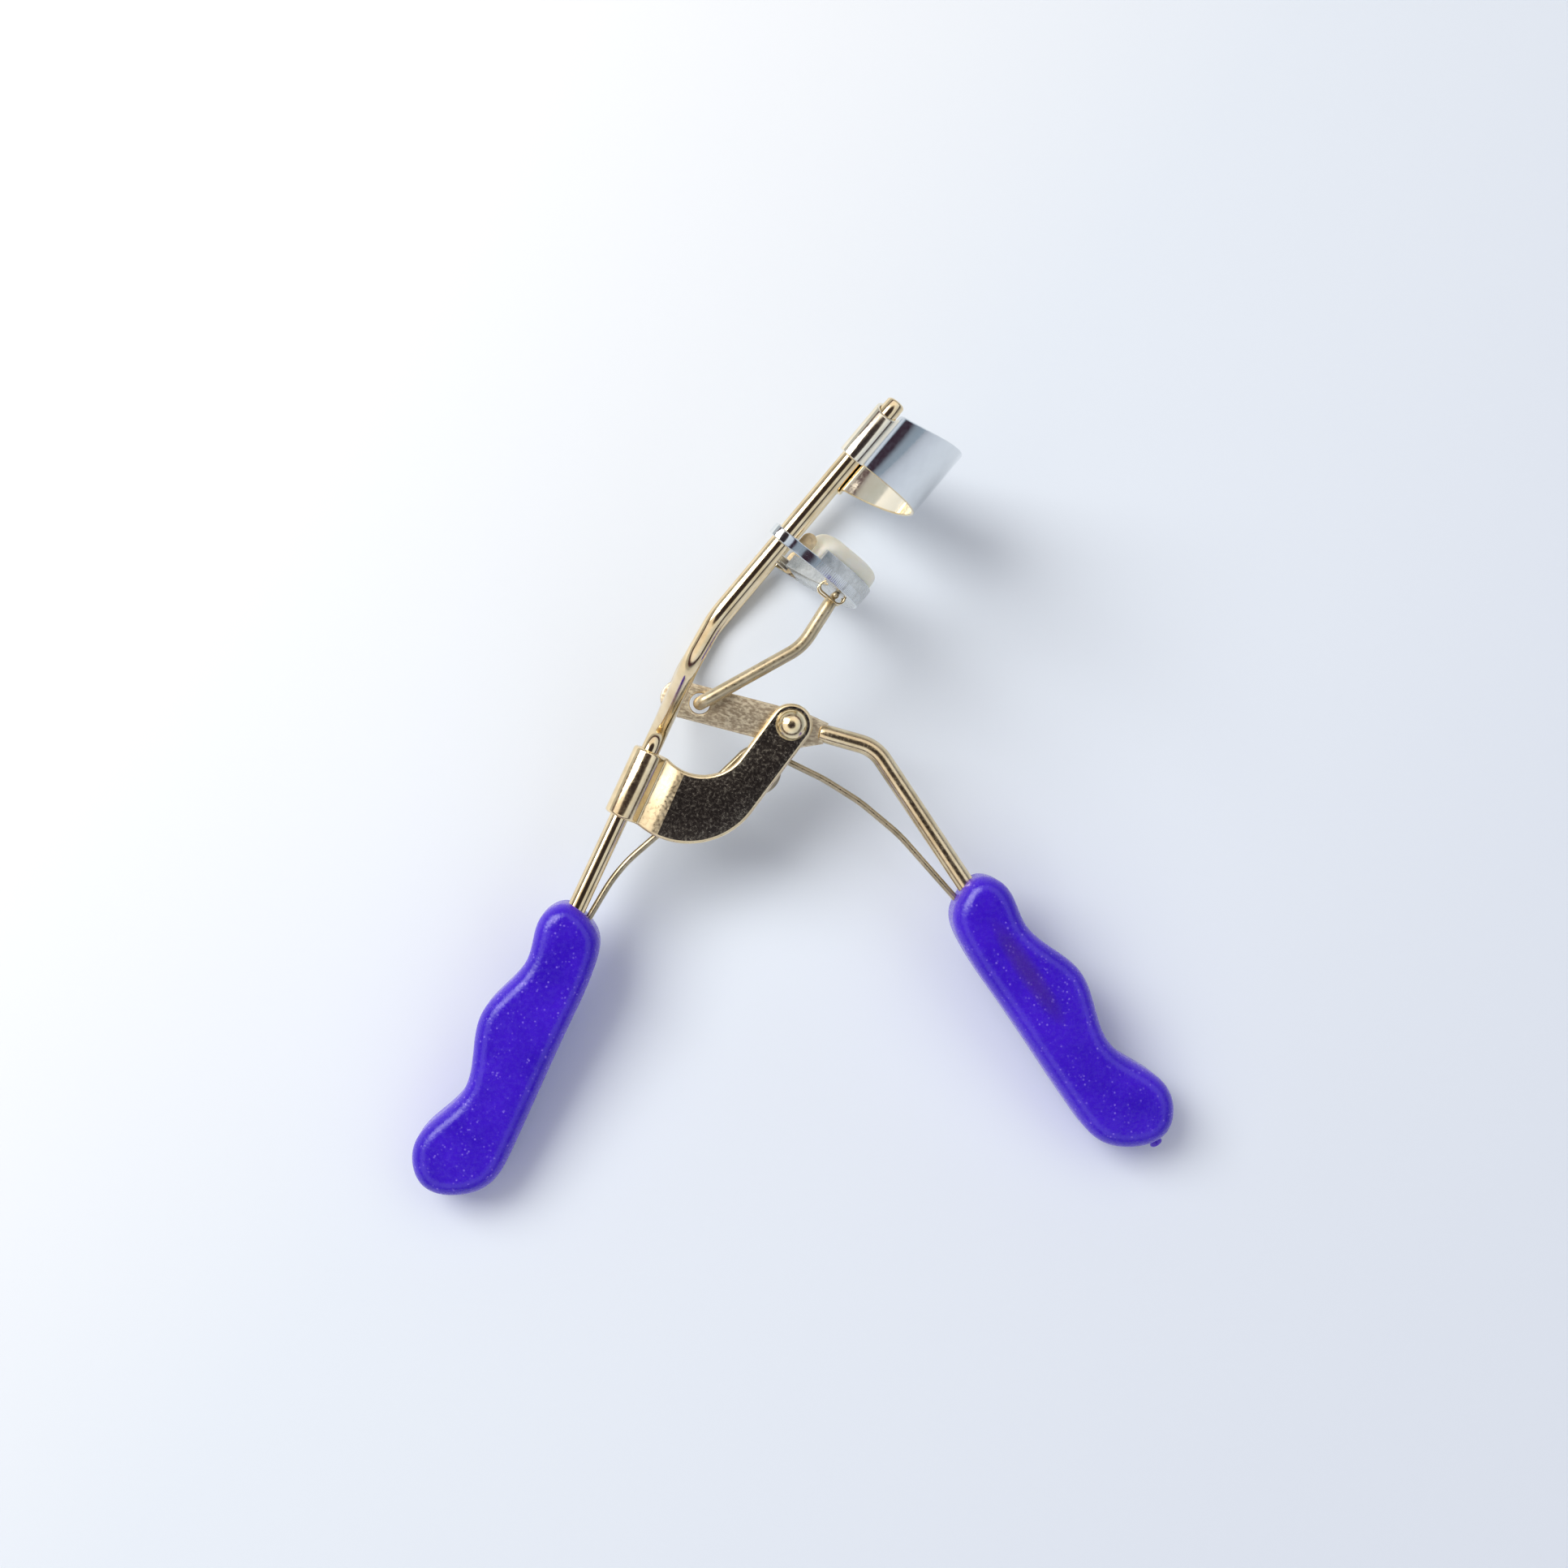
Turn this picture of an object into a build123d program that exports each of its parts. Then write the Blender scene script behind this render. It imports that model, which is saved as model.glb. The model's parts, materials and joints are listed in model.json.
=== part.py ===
from build123d import *
import os
from math import cos, radians, sin

# Eyelash curler, in millimetres.
#
# The tool is flat apart from its cage, so it is drawn in its own mid-plane: X to the right, Y towards
# the jaws and Z across the tool, with the mid-plane at Z = 0. "Near" is the +Z side. At the end every
# piece is turned together into the pose in which the tool lies on a table, with +Z up.

# ---- wires, sheet and fits ----
ROD_D = 2.35                # frame wire
LEVER_WIRE_D = 2.35
LINK_WIRE_D = 1.7
SPRING_WIRE_D = 0.85
JAW_SHEET = 0.4
BRACKET_SHEET = 0.85
LOOP_CLEARANCE = 0.06       # slider loop on its rod, radial
PIVOT_CLEARANCE = 0.05      # lever on its rivet, radial

# ---- head: two parallel guide rods that carry both jaws ----
ROD_ANGLE = 50.0            # of the rods above +X
ROD_SPACING = 34.0          # axis to axis
HEAD_ORIGIN = Vector(-15.04, 12.6, 0)    # on the rods' line, level zero of the heights below
LASH_RADIUS = 17.6          # curve of both jaws, seen along the rods
LASH_REACH = 10.1           # how far the curve stands out from the rods' line
BROW_RISE = 1.64            # how much higher the jaws' meeting edges are in the middle
CHANNEL_RISE = 1.0          # how much higher the sliding jaw's sheet is in the middle
LIP_RISE = 4.7              # the same for the upper jaw's free edge

UPPER_FOOT = 34.46          # lower edge of the upper jaw at the rods
UPPER_TOP = 41.0            # its upper edge at the rods
UPPER_HALF_ANGLE = 62.5
FLANK_W = 1.7               # of the flat that joins the upper jaw's plate to its roll
FLANK_SIDE = 16.2           # its middle, from the mid-plane
ROD_TIP = 42.8
LOWER_FOOT = 21.6           # lower edge of the lower jaw at the rods, jaws open
STRIP_H = 1.2               # loops and the strip that joins them to the channel
CHANNEL_H = 2.75
PAD_TOP = 25.75
PAD_W = 3.8
PAD_HALF_ANGLE = 52.0
CHANNEL_HALF_ANGLE = 51.0
STRIP_HALF_ANGLE = 66.0
TAB_REACH = 2.5             # middle of the rounded end tab, from the rods' line
TAB_W = 1.9
TAB_H = 3.2
TAB_T = 0.28                # pressed thinner than the rest of the sheet
HEAD_LOW = 15.0             # the jaws' walls are drawn between these two heights and then trimmed
HEAD_HIGH = 50.0

# ---- frame: each rod bends in at its shoulder and runs down the stem beside the other ----
STEM_ANGLE = 65.0           # of the stem above +X
STEM_POINT = Vector(-18.3, 0.9, 0)      # on the stem's centre line, inside the collar
STEM_OFFSET = 1.2           # of each stem wire from the mid-plane
NEAR_SHOULDER = Vector(-11.7, 14.9, 14.8)   # corner where the near rod turns in towards the stem
FAR_SHOULDER = Vector(-12.3, 14.8, -14.8)   # the far one, bent by hand and not quite the same
SHOULDER_UPPER = 9.9        # height on the rods' line where the bend ends
SHOULDER_RADII = (4.0, 6.0, 7.0)
STEM_STRAIGHT_UP = 2.6      # from the collar to the corner where the wires part
STEM_MOUTH = -17.5          # along the stem, where it goes into its grip

# ---- pivot, lever and link ----
PIVOT = Vector(0.84, 7.45, 0)
LEVER_SLOPE = -14.7
BAR_H = 4.6
BAR_T = 1.5
BAR_TAIL = 16.7             # from the rivet to the bar's rounded end
BAR_TAPER = 1.4             # from the rivet to where the bar starts to narrow
BAR_NOSE = 4.5              # from the rivet to its narrow end
NOSE_H = 2.7                # height of the bar there
WIRE_START = 3.6            # from the rivet to where the round wire comes out of the bar
BAR_DROP = 0.4              # of the bar's centre line below the rivet
HOLE = Vector(-10.55, 10.1, 0)          # the link's hole in the bar
HOLE_D = 2.6
LEVER_BEND = Vector(11.35, 4.55, 0)
LEVER_BEND_R = 5.0
LEVER_ENTRY = Vector(22.45, -12.1, 0)    # where the wire goes into its grip
GRIP_DEPTH = 14.0           # of both wires inside their grips
LINK_BEND = Vector(2.2, 17.2, 1.0)
LINK_BEND_R = 7.0
LINK_OFFSET = 1.9           # of the link's foot from the mid-plane, clear of the bar
CROSSBAR_D = 0.9
CROSSBAR_REACH = 9.3        # place of the link's head, from the rods' line
EYE_REACH = 8.8             # middle of the long eye that holds it
EYE_HEIGHT = 22.1
EYE_L = 3.8
EYE_H = 1.7
EYE_WALL = 0.25
EYE_INNER_Z = 1.3           # each half of the eye starts this far from the mid-plane
EYE_OUTER_Z = 2.7
EYE_SPACE_Z = 3.0           # the space through both halves is cut this far

# ---- bracket and rivet ----
EAR_R = 2.65                # of each ear round the rivet
EAR_TOP_ANGLE = 146.0       # where its round end meets the neck's upper edge
EAR_END_ANGLE = -35.0       # and the neck's lower edge
EAR_GAP = 2.2
COLLAR_UP = 3.6             # along the stem from STEM_POINT
COLLAR_DOWN = 5.4
COLLAR_LEFT = -3.0          # across the stem, just outside the collar
COLLAR_RIGHT = 2.5          # across the stem, where the neck's edges start
NECK_UPPER = ((-9.8, 1.1), (-5.4, 3.5))         # middle and end of its curve, from the collar
NECK_LOWER = ((-4.0, -3.4), (-10.8, -7.3))      # start and middle of its curve, from the ear
PINCH_ACROSS = (0.9, 2.1, 4.4)      # across the stem: collar's side, pinch and start of the ears
PINCH_HALF = 1.0            # of the pinch, from the mid-plane to the sheet's middle
RIVET_D = 2.0
RIVET_HEAD_D = 3.95
RIVET_HEAD_H = 1.3

# ---- spring ----
COIL = Vector(-3.46, 1.73, 0)
COIL_R = 2.7
COIL_PITCH = 0.9
COIL_START = 64.0           # angle at which the lever's leg meets the coil
COIL_END = 133.0 + 360.0    # angle at which the frame's leg leaves it, a full turn later
LEVER_LEG = ((5.0, 0.6), (9.6, -2.3), (14.5, -6.4), (22.9, -15.9))
FRAME_LEG = ((-15.0, -5.6), (-20.8, -10.6), (-25.2, -18.0))

# ---- grips: one moulding used on both sides, drawn with U from mouth to toe and V outwards ----
GRIP_T = 8.0
GRIP_EDGE_R = 2.1
GRIP_OUTLINE = ((7.0, 0.1), (3.0, 1.3), (1.4, 3.6), (0.9, 6.6), (3.4, 8.7), (9.0, 8.15), (17.8, 10.5),
                (27.4, 8.55), (36.4, 11.3), (40.2, 8.4), (39.4, 3.6), (36.2, 0.6), (32, 0), (24, 0), (15, 0))
FRAME_GRIP_ORIGIN = Vector(-20.75, -16.65, 0)
FRAME_GRIP_ANGLE = -114.6
LEVER_GRIP_ORIGIN = Vector(18.1, -14.4, 0)
LEVER_GRIP_ANGLE = -55.9
LEG_SOCKET_CLEARANCE = 0.1
LEG_BEND_R = 20.0

# ---- resting pose: far shoulder and both grip toes on the table ----
REST_PITCH = 11.885
REST_ROLL = 0.862

UP_ROD = Vector(cos(radians(ROD_ANGLE)), sin(radians(ROD_ANGLE)), 0)
OUTWARD = Vector(sin(radians(ROD_ANGLE)), -cos(radians(ROD_ANGLE)), 0)
UP_STEM = Vector(cos(radians(STEM_ANGLE)), sin(radians(STEM_ANGLE)), 0)
ACROSS_STEM = Vector(sin(radians(STEM_ANGLE)), -cos(radians(STEM_ANGLE)), 0)
SIDE = Vector(0, 0, 1)
LASH_CENTRE = LASH_REACH - LASH_RADIUS


def head(reach, height, side=0.0):
    """A point given by its distance out from the rods' line, its height along them and its side."""
    return HEAD_ORIGIN + OUTWARD * reach + UP_ROD * height + SIDE * side


def stem(across, along):
    """A point in the mid-plane given from STEM_POINT, across the stem and up along it."""
    return STEM_POINT + ACROSS_STEM * across + UP_STEM * along


def tube(path, diameter):
    """A round wire along a path."""
    section = Plane(origin=path @ 0, z_dir=path % 0) * Circle(diameter / 2)
    return sweep(section, path=path)


def bent_wire(points, radii, diameter):
    """A round wire through the points, with its corners bent to the radii."""
    return tube(FilletPolyline(*points, radius=list(radii)), diameter)


# ---- sheet that follows the lash curve ----
def head_plane(height):
    """The plane square to the rods: its X points outwards and its Y across the tool."""
    return Plane(origin=head(0, height), x_dir=OUTWARD, z_dir=-UP_ROD)


def band(r_in, r_out, half_angle):
    """A flat curved band between two radii of the lash curve, in the head's plane."""
    start = Vector(LASH_CENTRE, 0)
    edge_in = CenterArc(start, r_in, -half_angle, 2 * half_angle)
    edge_out = CenterArc(start, r_out, -half_angle, 2 * half_angle)
    ends = [Line(edge_in @ 0, edge_out @ 0), Line(edge_in @ 1, edge_out @ 1)]
    return make_face([edge_in, edge_out] + ends)


def raised(section):
    """A flat section in the head's plane, raised along the rods into a tall wall."""
    return extrude(head_plane(HEAD_LOW) * section, HEAD_LOW - HEAD_HIGH)


def between(low, low_rise, high, high_rise):
    """The space between two brow curves, which are arcs seen from in front of the jaws."""
    half = ROD_SPACING / 2
    reach = 1.35 * half
    level = Plane(origin=HEAD_ORIGIN, x_dir=-SIDE, z_dir=OUTWARD)

    def brow(height, rise):
        drop = rise * ((reach / half) ** 2 - 1)
        return ThreePointArc((-reach, height - drop), (0, height + rise), (reach, height - drop))

    bottom = brow(low, low_rise)
    top = brow(high, high_rise)
    ends = [Line(bottom @ 0, top @ 0), Line(bottom @ 1, top @ 1)]
    return extrude(level * make_face([bottom, top] + ends), 25, both=True)


# ---- frame body ----
def guide_rod(side):
    """One frame wire: stem, shoulder and straight guide. side is +1 near or -1 far."""
    foot = frame_wire_end()
    collar_top = stem(0, COLLAR_UP + STEM_STRAIGHT_UP)
    z_stem = side * STEM_OFFSET
    corner = head(0, SHOULDER_UPPER, side * ROD_SPACING / 2)
    points = [
        Vector(foot.X, foot.Y, z_stem),
        Vector(collar_top.X, collar_top.Y, z_stem),
        NEAR_SHOULDER if side > 0 else FAR_SHOULDER,
        corner,
        head(0, ROD_TIP, side * ROD_SPACING / 2),
    ]
    return bent_wire(points, SHOULDER_RADII, ROD_D)


def frame_wire_end():
    """Where both stem wires end inside the frame's grip."""
    return stem(0, STEM_MOUTH - GRIP_DEPTH)


def upper_jaw():
    """The fixed jaw: a curved plate with each end rolled round a rod."""
    r_rod = ROD_D / 2
    section = band(LASH_RADIUS - JAW_SHEET / 2, LASH_RADIUS + JAW_SHEET / 2, UPPER_HALF_ANGLE)
    for side in (1, -1):
        section += Pos(r_rod + JAW_SHEET / 2, side * FLANK_SIDE) * Rectangle(JAW_SHEET, FLANK_W)
        section += Pos(0, side * ROD_SPACING / 2) * Circle(r_rod + JAW_SHEET)
        section -= Pos(0, side * ROD_SPACING / 2) * Circle(r_rod)
    return raised(section) & between(UPPER_FOOT, BROW_RISE, UPPER_TOP, LIP_RISE)


def ear_point(angle):
    """A point on the round end of the bracket's ears."""
    return PIVOT + Vector(cos(radians(angle)), sin(radians(angle)), 0) * EAR_R


def pivot_bracket():
    """A sheet clevis: a collar round both stem wires, a pinched neck and two flat ears."""
    mid = ROD_D / 2 + BRACKET_SHEET / 2
    top = STEM_OFFSET + mid
    ear = EAR_GAP / 2 + BRACKET_SHEET / 2
    collar_end, pinch, ear_start = PINCH_ACROSS
    section = Plane(origin=stem(0, -9), x_dir=ACROSS_STEM, z_dir=UP_STEM)
    blank = None
    for side in (1, -1):
        fold = FilletPolyline(
            (-mid, 0), (-mid, side * top), (collar_end, side * top), (pinch, side * PINCH_HALF),
            (ear_start, side * ear), (20, side * ear), radius=[mid, mid, 0.8, 2.0])
        half = extrude(section * trace(fold, BRACKET_SHEET), 28)
        blank = half if blank is None else blank + half
    ear_top = ear_point(EAR_TOP_ANGLE)
    ear_middle = ear_point((EAR_TOP_ANGLE + EAR_END_ANGLE) / 2)
    ear_end = ear_point(EAR_END_ANGLE)
    outline = [
        Line(stem(COLLAR_LEFT, COLLAR_UP), stem(COLLAR_RIGHT, COLLAR_UP)),
        ThreePointArc(stem(COLLAR_RIGHT, COLLAR_UP), *NECK_UPPER),
        Line(NECK_UPPER[1], ear_top),
        ThreePointArc(ear_top, ear_middle, ear_end),
        Line(ear_end, NECK_LOWER[0]),
        ThreePointArc(*NECK_LOWER, stem(COLLAR_RIGHT, -COLLAR_DOWN)),
        Line(stem(COLLAR_RIGHT, -COLLAR_DOWN), stem(COLLAR_LEFT, -COLLAR_DOWN)),
        Line(stem(COLLAR_LEFT, -COLLAR_DOWN), stem(COLLAR_LEFT, COLLAR_UP)),
    ]
    body = blank & extrude(make_face(outline), 6, both=True)
    return body - Pos(PIVOT) * Cylinder(RIVET_D / 2, 20)


def pivot_rivet():
    """A shank with a domed head on each side of the bracket."""
    face = EAR_GAP / 2 + BRACKET_SHEET
    r_head = RIVET_HEAD_D / 2
    r_dome = (r_head ** 2 + RIVET_HEAD_H ** 2) / (2 * RIVET_HEAD_H)
    body = Cylinder(RIVET_D / 2, 2 * face)
    ball = Pos(0, 0, face + RIVET_HEAD_H - r_dome) * Sphere(r_dome)
    dome = ball & Pos(0, 0, face + 2.5) * Box(10, 10, 5)
    body += dome
    body += mirror(dome, Plane.XY)
    return Pos(PIVOT) * body


def spring_leg(start, points, z, diameter):
    """One straight-ended leg of the spring, leaving the coil at start."""
    path = [Vector(start.X, start.Y, z)] + [Vector(x, y, z) for x, y in points]
    return bent_wire(path, [LEG_BEND_R] * (len(path) - 2), diameter)


def coil_point(angle):
    """A point on the coil's centre line."""
    return COIL + Vector(cos(radians(angle)), sin(radians(angle)), 0) * COIL_R


def coil_half_height():
    """Half the distance between the coil's two ends across the tool."""
    return COIL_PITCH * (COIL_END - COIL_START) / 360 / 2


def lever_leg(diameter):
    """The leg that pushes the lever's grip."""
    return spring_leg(coil_point(COIL_START), LEVER_LEG, -coil_half_height(), diameter)


def frame_leg(diameter):
    """The leg that is held in the frame's grip."""
    return spring_leg(coil_point(COIL_END), FRAME_LEG, coil_half_height(), diameter)


def return_spring():
    """A torsion spring: one open turn between the ears, and a leg into each grip."""
    half = coil_half_height()
    helix = Helix(COIL_PITCH, 2 * half, COIL_R)
    coil_path = Pos(COIL.X, COIL.Y, -half) * (Rot(0, 0, COIL_START) * helix)
    return tube(coil_path, SPRING_WIRE_D) + lever_leg(SPRING_WIRE_D) + frame_leg(SPRING_WIRE_D)


# ---- grips ----
def grip(origin, angle, outward):
    """The finger grip. outward is +1 when V lies to the left of U, or -1 when it lies to the right."""
    outline = make_face([Spline(*GRIP_OUTLINE, periodic=True)])
    body = extrude(Pos(0, 0, -GRIP_T / 2) * outline, GRIP_T)
    body = fillet(body.faces().filter_by(Axis.Z).edges(), GRIP_EDGE_R)
    if outward < 0:
        body = mirror(body, Plane.XZ)
    return Pos(origin) * (Rot(0, 0, angle) * body)


def frame_grip(rods):
    """The grip on the stem, with its two wire holes and the spring's socket."""
    body = grip(FRAME_GRIP_ORIGIN, FRAME_GRIP_ANGLE, -1)
    for rod in rods:
        body -= rod
    return body - frame_leg(SPRING_WIRE_D)


def lever_grip(lever_piece):
    """The grip on the lever, with its wire hole and a loose socket for the spring's leg."""
    body = grip(LEVER_GRIP_ORIGIN, LEVER_GRIP_ANGLE, 1)
    body -= lever_piece
    return body - lever_leg(SPRING_WIRE_D + 2 * LEG_SOCKET_CLEARANCE)


# ---- lever body ----
def lever():
    """A wire whose end is flattened into a bar, with holes for the rivet and the link."""
    along = Vector(cos(radians(LEVER_SLOPE)), sin(radians(LEVER_SLOPE)), 0)
    square = Vector(-along.Y, along.X, 0)
    middle = PIVOT - square * BAR_DROP
    half = square * (BAR_H / 2)
    nose_half = square * (NOSE_H / 2)
    tail = middle - along * (BAR_TAIL - BAR_H / 2)
    tail_tip = middle - along * BAR_TAIL
    taper = middle + along * BAR_TAPER
    nose = PIVOT + along * BAR_NOSE
    outline = [
        Line(taper + half, tail + half),
        ThreePointArc(tail + half, tail_tip, tail - half),
        Line(tail - half, taper - half),
        Line(taper - half, nose - nose_half),
        Line(nose - nose_half, nose + nose_half),
        Line(nose + nose_half, taper + half),
    ]
    bar = extrude(make_face(outline), BAR_T / 2, both=True)
    into_grip = (LEVER_ENTRY - LEVER_BEND).normalized()
    wire_points = [PIVOT + along * WIRE_START, LEVER_BEND, LEVER_ENTRY + into_grip * GRIP_DEPTH]
    body = bar + bent_wire(wire_points, [LEVER_BEND_R], LEVER_WIRE_D)
    body -= Pos(PIVOT) * Cylinder(RIVET_D / 2 + PIVOT_CLEARANCE, 10)
    return body - Pos(HOLE) * Cylinder(HOLE_D / 2, 10)


# ---- link body ----
def link_wire():
    """A wire hooked through the lever's hole, with a thin crossbar at its head."""
    r_wire = LINK_WIRE_D / 2
    top = head(CROSSBAR_REACH, EYE_HEIGHT)
    shaft_end = top - (top - Vector(LINK_BEND.X, LINK_BEND.Y, 0)).normalized() * 0.3
    points = [
        Vector(HOLE.X, HOLE.Y, -LINK_OFFSET),
        Vector(HOLE.X, HOLE.Y, LINK_OFFSET),
        LINK_BEND,
        shaft_end,
    ]
    crossbar = Pos(top) * Cylinder(CROSSBAR_D / 2, 2 * EYE_OUTER_Z)
    return bent_wire(points, [r_wire + 0.3, LINK_BEND_R], LINK_WIRE_D) + crossbar


# ---- slider body ----
def lower_jaw():
    """The sliding jaw: loops, strip, pad channel, end tabs and the eye for the link."""
    r_wall_out = LASH_RADIUS + PAD_W / 2 + JAW_SHEET
    r_wall_in = LASH_RADIUS - PAD_W / 2 - JAW_SHEET
    r_loop = ROD_D / 2 + LOOP_CLEARANCE
    channel = band(r_wall_in, r_wall_out, CHANNEL_HALF_ANGLE)
    groove = band(r_wall_in + JAW_SHEET, r_wall_out - JAW_SHEET, CHANNEL_HALF_ANGLE + 1)
    strip = band(r_wall_out - JAW_SHEET, r_wall_out, STRIP_HALF_ANGLE)
    for side in (1, -1):
        strip += Pos(0, side * ROD_SPACING / 2) * Circle(r_loop + JAW_SHEET)
        strip -= Pos(0, side * ROD_SPACING / 2) * Circle(r_loop)
    floor_top = LOWER_FOOT + JAW_SHEET
    body = raised(channel) & between(LOWER_FOOT, CHANNEL_RISE, LOWER_FOOT + CHANNEL_H, CHANNEL_RISE)
    body -= raised(groove) & between(floor_top, CHANNEL_RISE, HEAD_HIGH, CHANNEL_RISE)
    body += raised(strip) & between(LOWER_FOOT, CHANNEL_RISE, LOWER_FOOT + STRIP_H, CHANNEL_RISE)
    for side in (1, -1):
        body += end_tab(side, r_loop)
    body += eye_slot(0, EYE_INNER_Z, EYE_OUTER_Z)
    body += eye_slot(0, -EYE_OUTER_Z, -EYE_INNER_Z)
    return body - eye_slot(EYE_WALL, -EYE_SPACE_Z, EYE_SPACE_Z)


def end_tab(side, r_loop):
    """The rounded free end of the sheet, after it has wrapped round the rod."""
    z_mid = side * (ROD_SPACING / 2 - r_loop - JAW_SHEET / 2)
    face = Plane(origin=head(0, LOWER_FOOT, z_mid), x_dir=OUTWARD, z_dir=SIDE)
    foot = Pos(TAB_REACH / 2 + 0.1, STRIP_H / 2) * Rectangle(TAB_REACH - 0.2, STRIP_H)
    tongue = Pos(TAB_REACH, TAB_H / 2) * SlotOverall(TAB_H, TAB_W, rotation=90)
    return extrude(face * (foot + tongue), TAB_T / 2, both=True)


def eye_slot(shrink, z_start, z_end):
    """A long round-ended bar across the tool at the link's head, smaller all round by shrink."""
    start = Plane(origin=head(EYE_REACH, EYE_HEIGHT, z_start), x_dir=OUTWARD, z_dir=SIDE)
    return extrude(start * SlotOverall(EYE_L - 2 * shrink, EYE_H - 2 * shrink), z_end - z_start)


def jaw_pad():
    """The silicone strip, from the channel's floor to its crowned top."""
    half = PAD_W / 2
    strip = raised(band(LASH_RADIUS - half, LASH_RADIUS + half, PAD_HALF_ANGLE))
    return strip & between(LOWER_FOOT + JAW_SHEET, CHANNEL_RISE, PAD_TOP, BROW_RISE)


def build():
    """Every piece by name, in the drawing's frame."""
    near = guide_rod(1)
    far = guide_rod(-1)
    lever_piece = lever()
    return {
        "near_guide_rod": near,
        "far_guide_rod": far,
        "upper_jaw": upper_jaw(),
        "pivot_bracket": pivot_bracket(),
        "pivot_rivet": pivot_rivet(),
        "frame_grip": frame_grip((near, far)),
        "return_spring": return_spring(),
        "lever": lever_piece,
        "lever_grip": lever_grip(lever_piece),
        "link_wire": link_wire(),
        "lower_jaw": lower_jaw(),
        "jaw_pad": jaw_pad(),
    }


def resting_pose(pieces):
    """The move that lays the tool on the table, with the middle of its box's base at the origin."""
    turn = Rot(REST_PITCH, REST_ROLL, 0)
    box = Compound(children=[turn * piece for piece in pieces.values()]).bounding_box()
    middle = box.center()
    return Pos(-middle.X, -middle.Y, -box.min.Z) * turn


PIECES = build()
POSE = resting_pose(PIECES)

os.makedirs("parts", exist_ok=True)
for name, piece in PIECES.items():
    export_step(POSE * piece, f"parts/{name}.step")
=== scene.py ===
import json
import math

import bmesh
import bpy
import numpy as np
from mathutils import Matrix, Vector


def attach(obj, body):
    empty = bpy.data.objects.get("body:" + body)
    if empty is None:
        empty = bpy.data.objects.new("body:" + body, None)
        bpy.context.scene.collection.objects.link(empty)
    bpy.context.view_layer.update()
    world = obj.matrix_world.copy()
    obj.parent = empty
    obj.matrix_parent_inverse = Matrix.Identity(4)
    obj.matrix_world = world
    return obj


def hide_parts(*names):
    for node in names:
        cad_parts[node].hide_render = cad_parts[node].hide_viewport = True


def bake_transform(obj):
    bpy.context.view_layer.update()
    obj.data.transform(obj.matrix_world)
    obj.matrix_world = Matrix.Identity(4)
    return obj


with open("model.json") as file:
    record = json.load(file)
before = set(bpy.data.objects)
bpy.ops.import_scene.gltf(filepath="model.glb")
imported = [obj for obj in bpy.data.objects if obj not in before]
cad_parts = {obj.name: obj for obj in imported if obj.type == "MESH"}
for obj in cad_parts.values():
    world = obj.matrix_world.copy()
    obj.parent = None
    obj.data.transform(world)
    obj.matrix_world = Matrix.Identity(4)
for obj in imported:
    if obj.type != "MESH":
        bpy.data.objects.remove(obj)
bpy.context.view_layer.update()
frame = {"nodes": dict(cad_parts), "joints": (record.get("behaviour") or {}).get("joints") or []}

MM = 0.001

# ---- the drawing's own frame: X right, Y towards the jaws, Z across the tool, in millimetres ----
JOINTS = {joint["name"]: joint for joint in frame["joints"]}
ROD_ANGLE = math.radians(50.0)
PIVOT = (0.84, 7.45)
SIDE = -Vector(JOINTS["lever_squeeze"]["axis"]).normalized()
UP_ROD = Vector(JOINTS["jaw_slide"]["axis"]).normalized()
OUTWARD = UP_ROD.cross(SIDE).normalized()
X_AXIS = UP_ROD * math.cos(ROD_ANGLE) + OUTWARD * math.sin(ROD_ANGLE)
Y_AXIS = UP_ROD * math.sin(ROD_ANGLE) - OUTWARD * math.cos(ROD_ANGLE)
ORIGIN = Vector(JOINTS["lever_squeeze"]["pos_m"]) - (X_AXIS * PIVOT[0] + Y_AXIS * PIVOT[1]) * MM

# ---- sizes shared with the CAD, in millimetres ----
ROD_R = 1.175
SHEET = 0.4
HALF_SPACING = 17.0
HEAD_ORIGIN = (-15.04, 12.6)
STEM_ORIGIN = (-18.3, 0.9)
STEM_ANGLE = math.radians(65.0)

# The jaws' curve seen along the rods, and their curve across the tool.
LASH_R = 17.6
LASH_CENTRE = -7.5
BROW_REACH = 1.35
BROW_RISE = 1.64
CHANNEL_RISE = 1.0
LOWER_FOOT = 21.6
PAD_TOP = 25.75

# The bracket's ears, and the lever's flat bar with its hole for the link.
EAR_INSIDE = 1.1
EAR_SHEET = 0.85
LINK_HOLE = (-10.55, 10.1)
BAR_SLOPE = math.radians(-14.7)
BAR_ALONG = X_AXIS * math.cos(BAR_SLOPE) + Y_AXIS * math.sin(BAR_SLOPE)


def place(x, y, z=0.0):
    """A point of the drawing, in the row's frame and in metres."""
    return ORIGIN + (X_AXIS * x + Y_AXIS * y + SIDE * z) * MM


def head(reach, height, side=0.0):
    """A point given by its distance out from the rods' line, its height along them and its side."""
    c, s = math.cos(ROD_ANGLE), math.sin(ROD_ANGLE)
    return (HEAD_ORIGIN[0] + s * reach + c * height, HEAD_ORIGIN[1] - c * reach + s * height, side)


def stem(across, along):
    """A point in the mid-plane, across the stem and up along it."""
    c, s = math.cos(STEM_ANGLE), math.sin(STEM_ANGLE)
    return (STEM_ORIGIN[0] + s * across + c * along, STEM_ORIGIN[1] - c * across + s * along)


# ---- mesh helpers ----
ARC_STEP = 0.35
RUN_STEPS = 4
FEWEST_SPANS = 6
TOUCHING = 1e-6
NEARLY_PARALLEL = 0.1
CAP_ANGLES = (88, 72, 54, 36, 18)
EDGE_STEPS = 3
SECTION_POINTS = 4 * (EDGE_STEPS + 1)
TURNED_SIDES = 64


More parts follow.
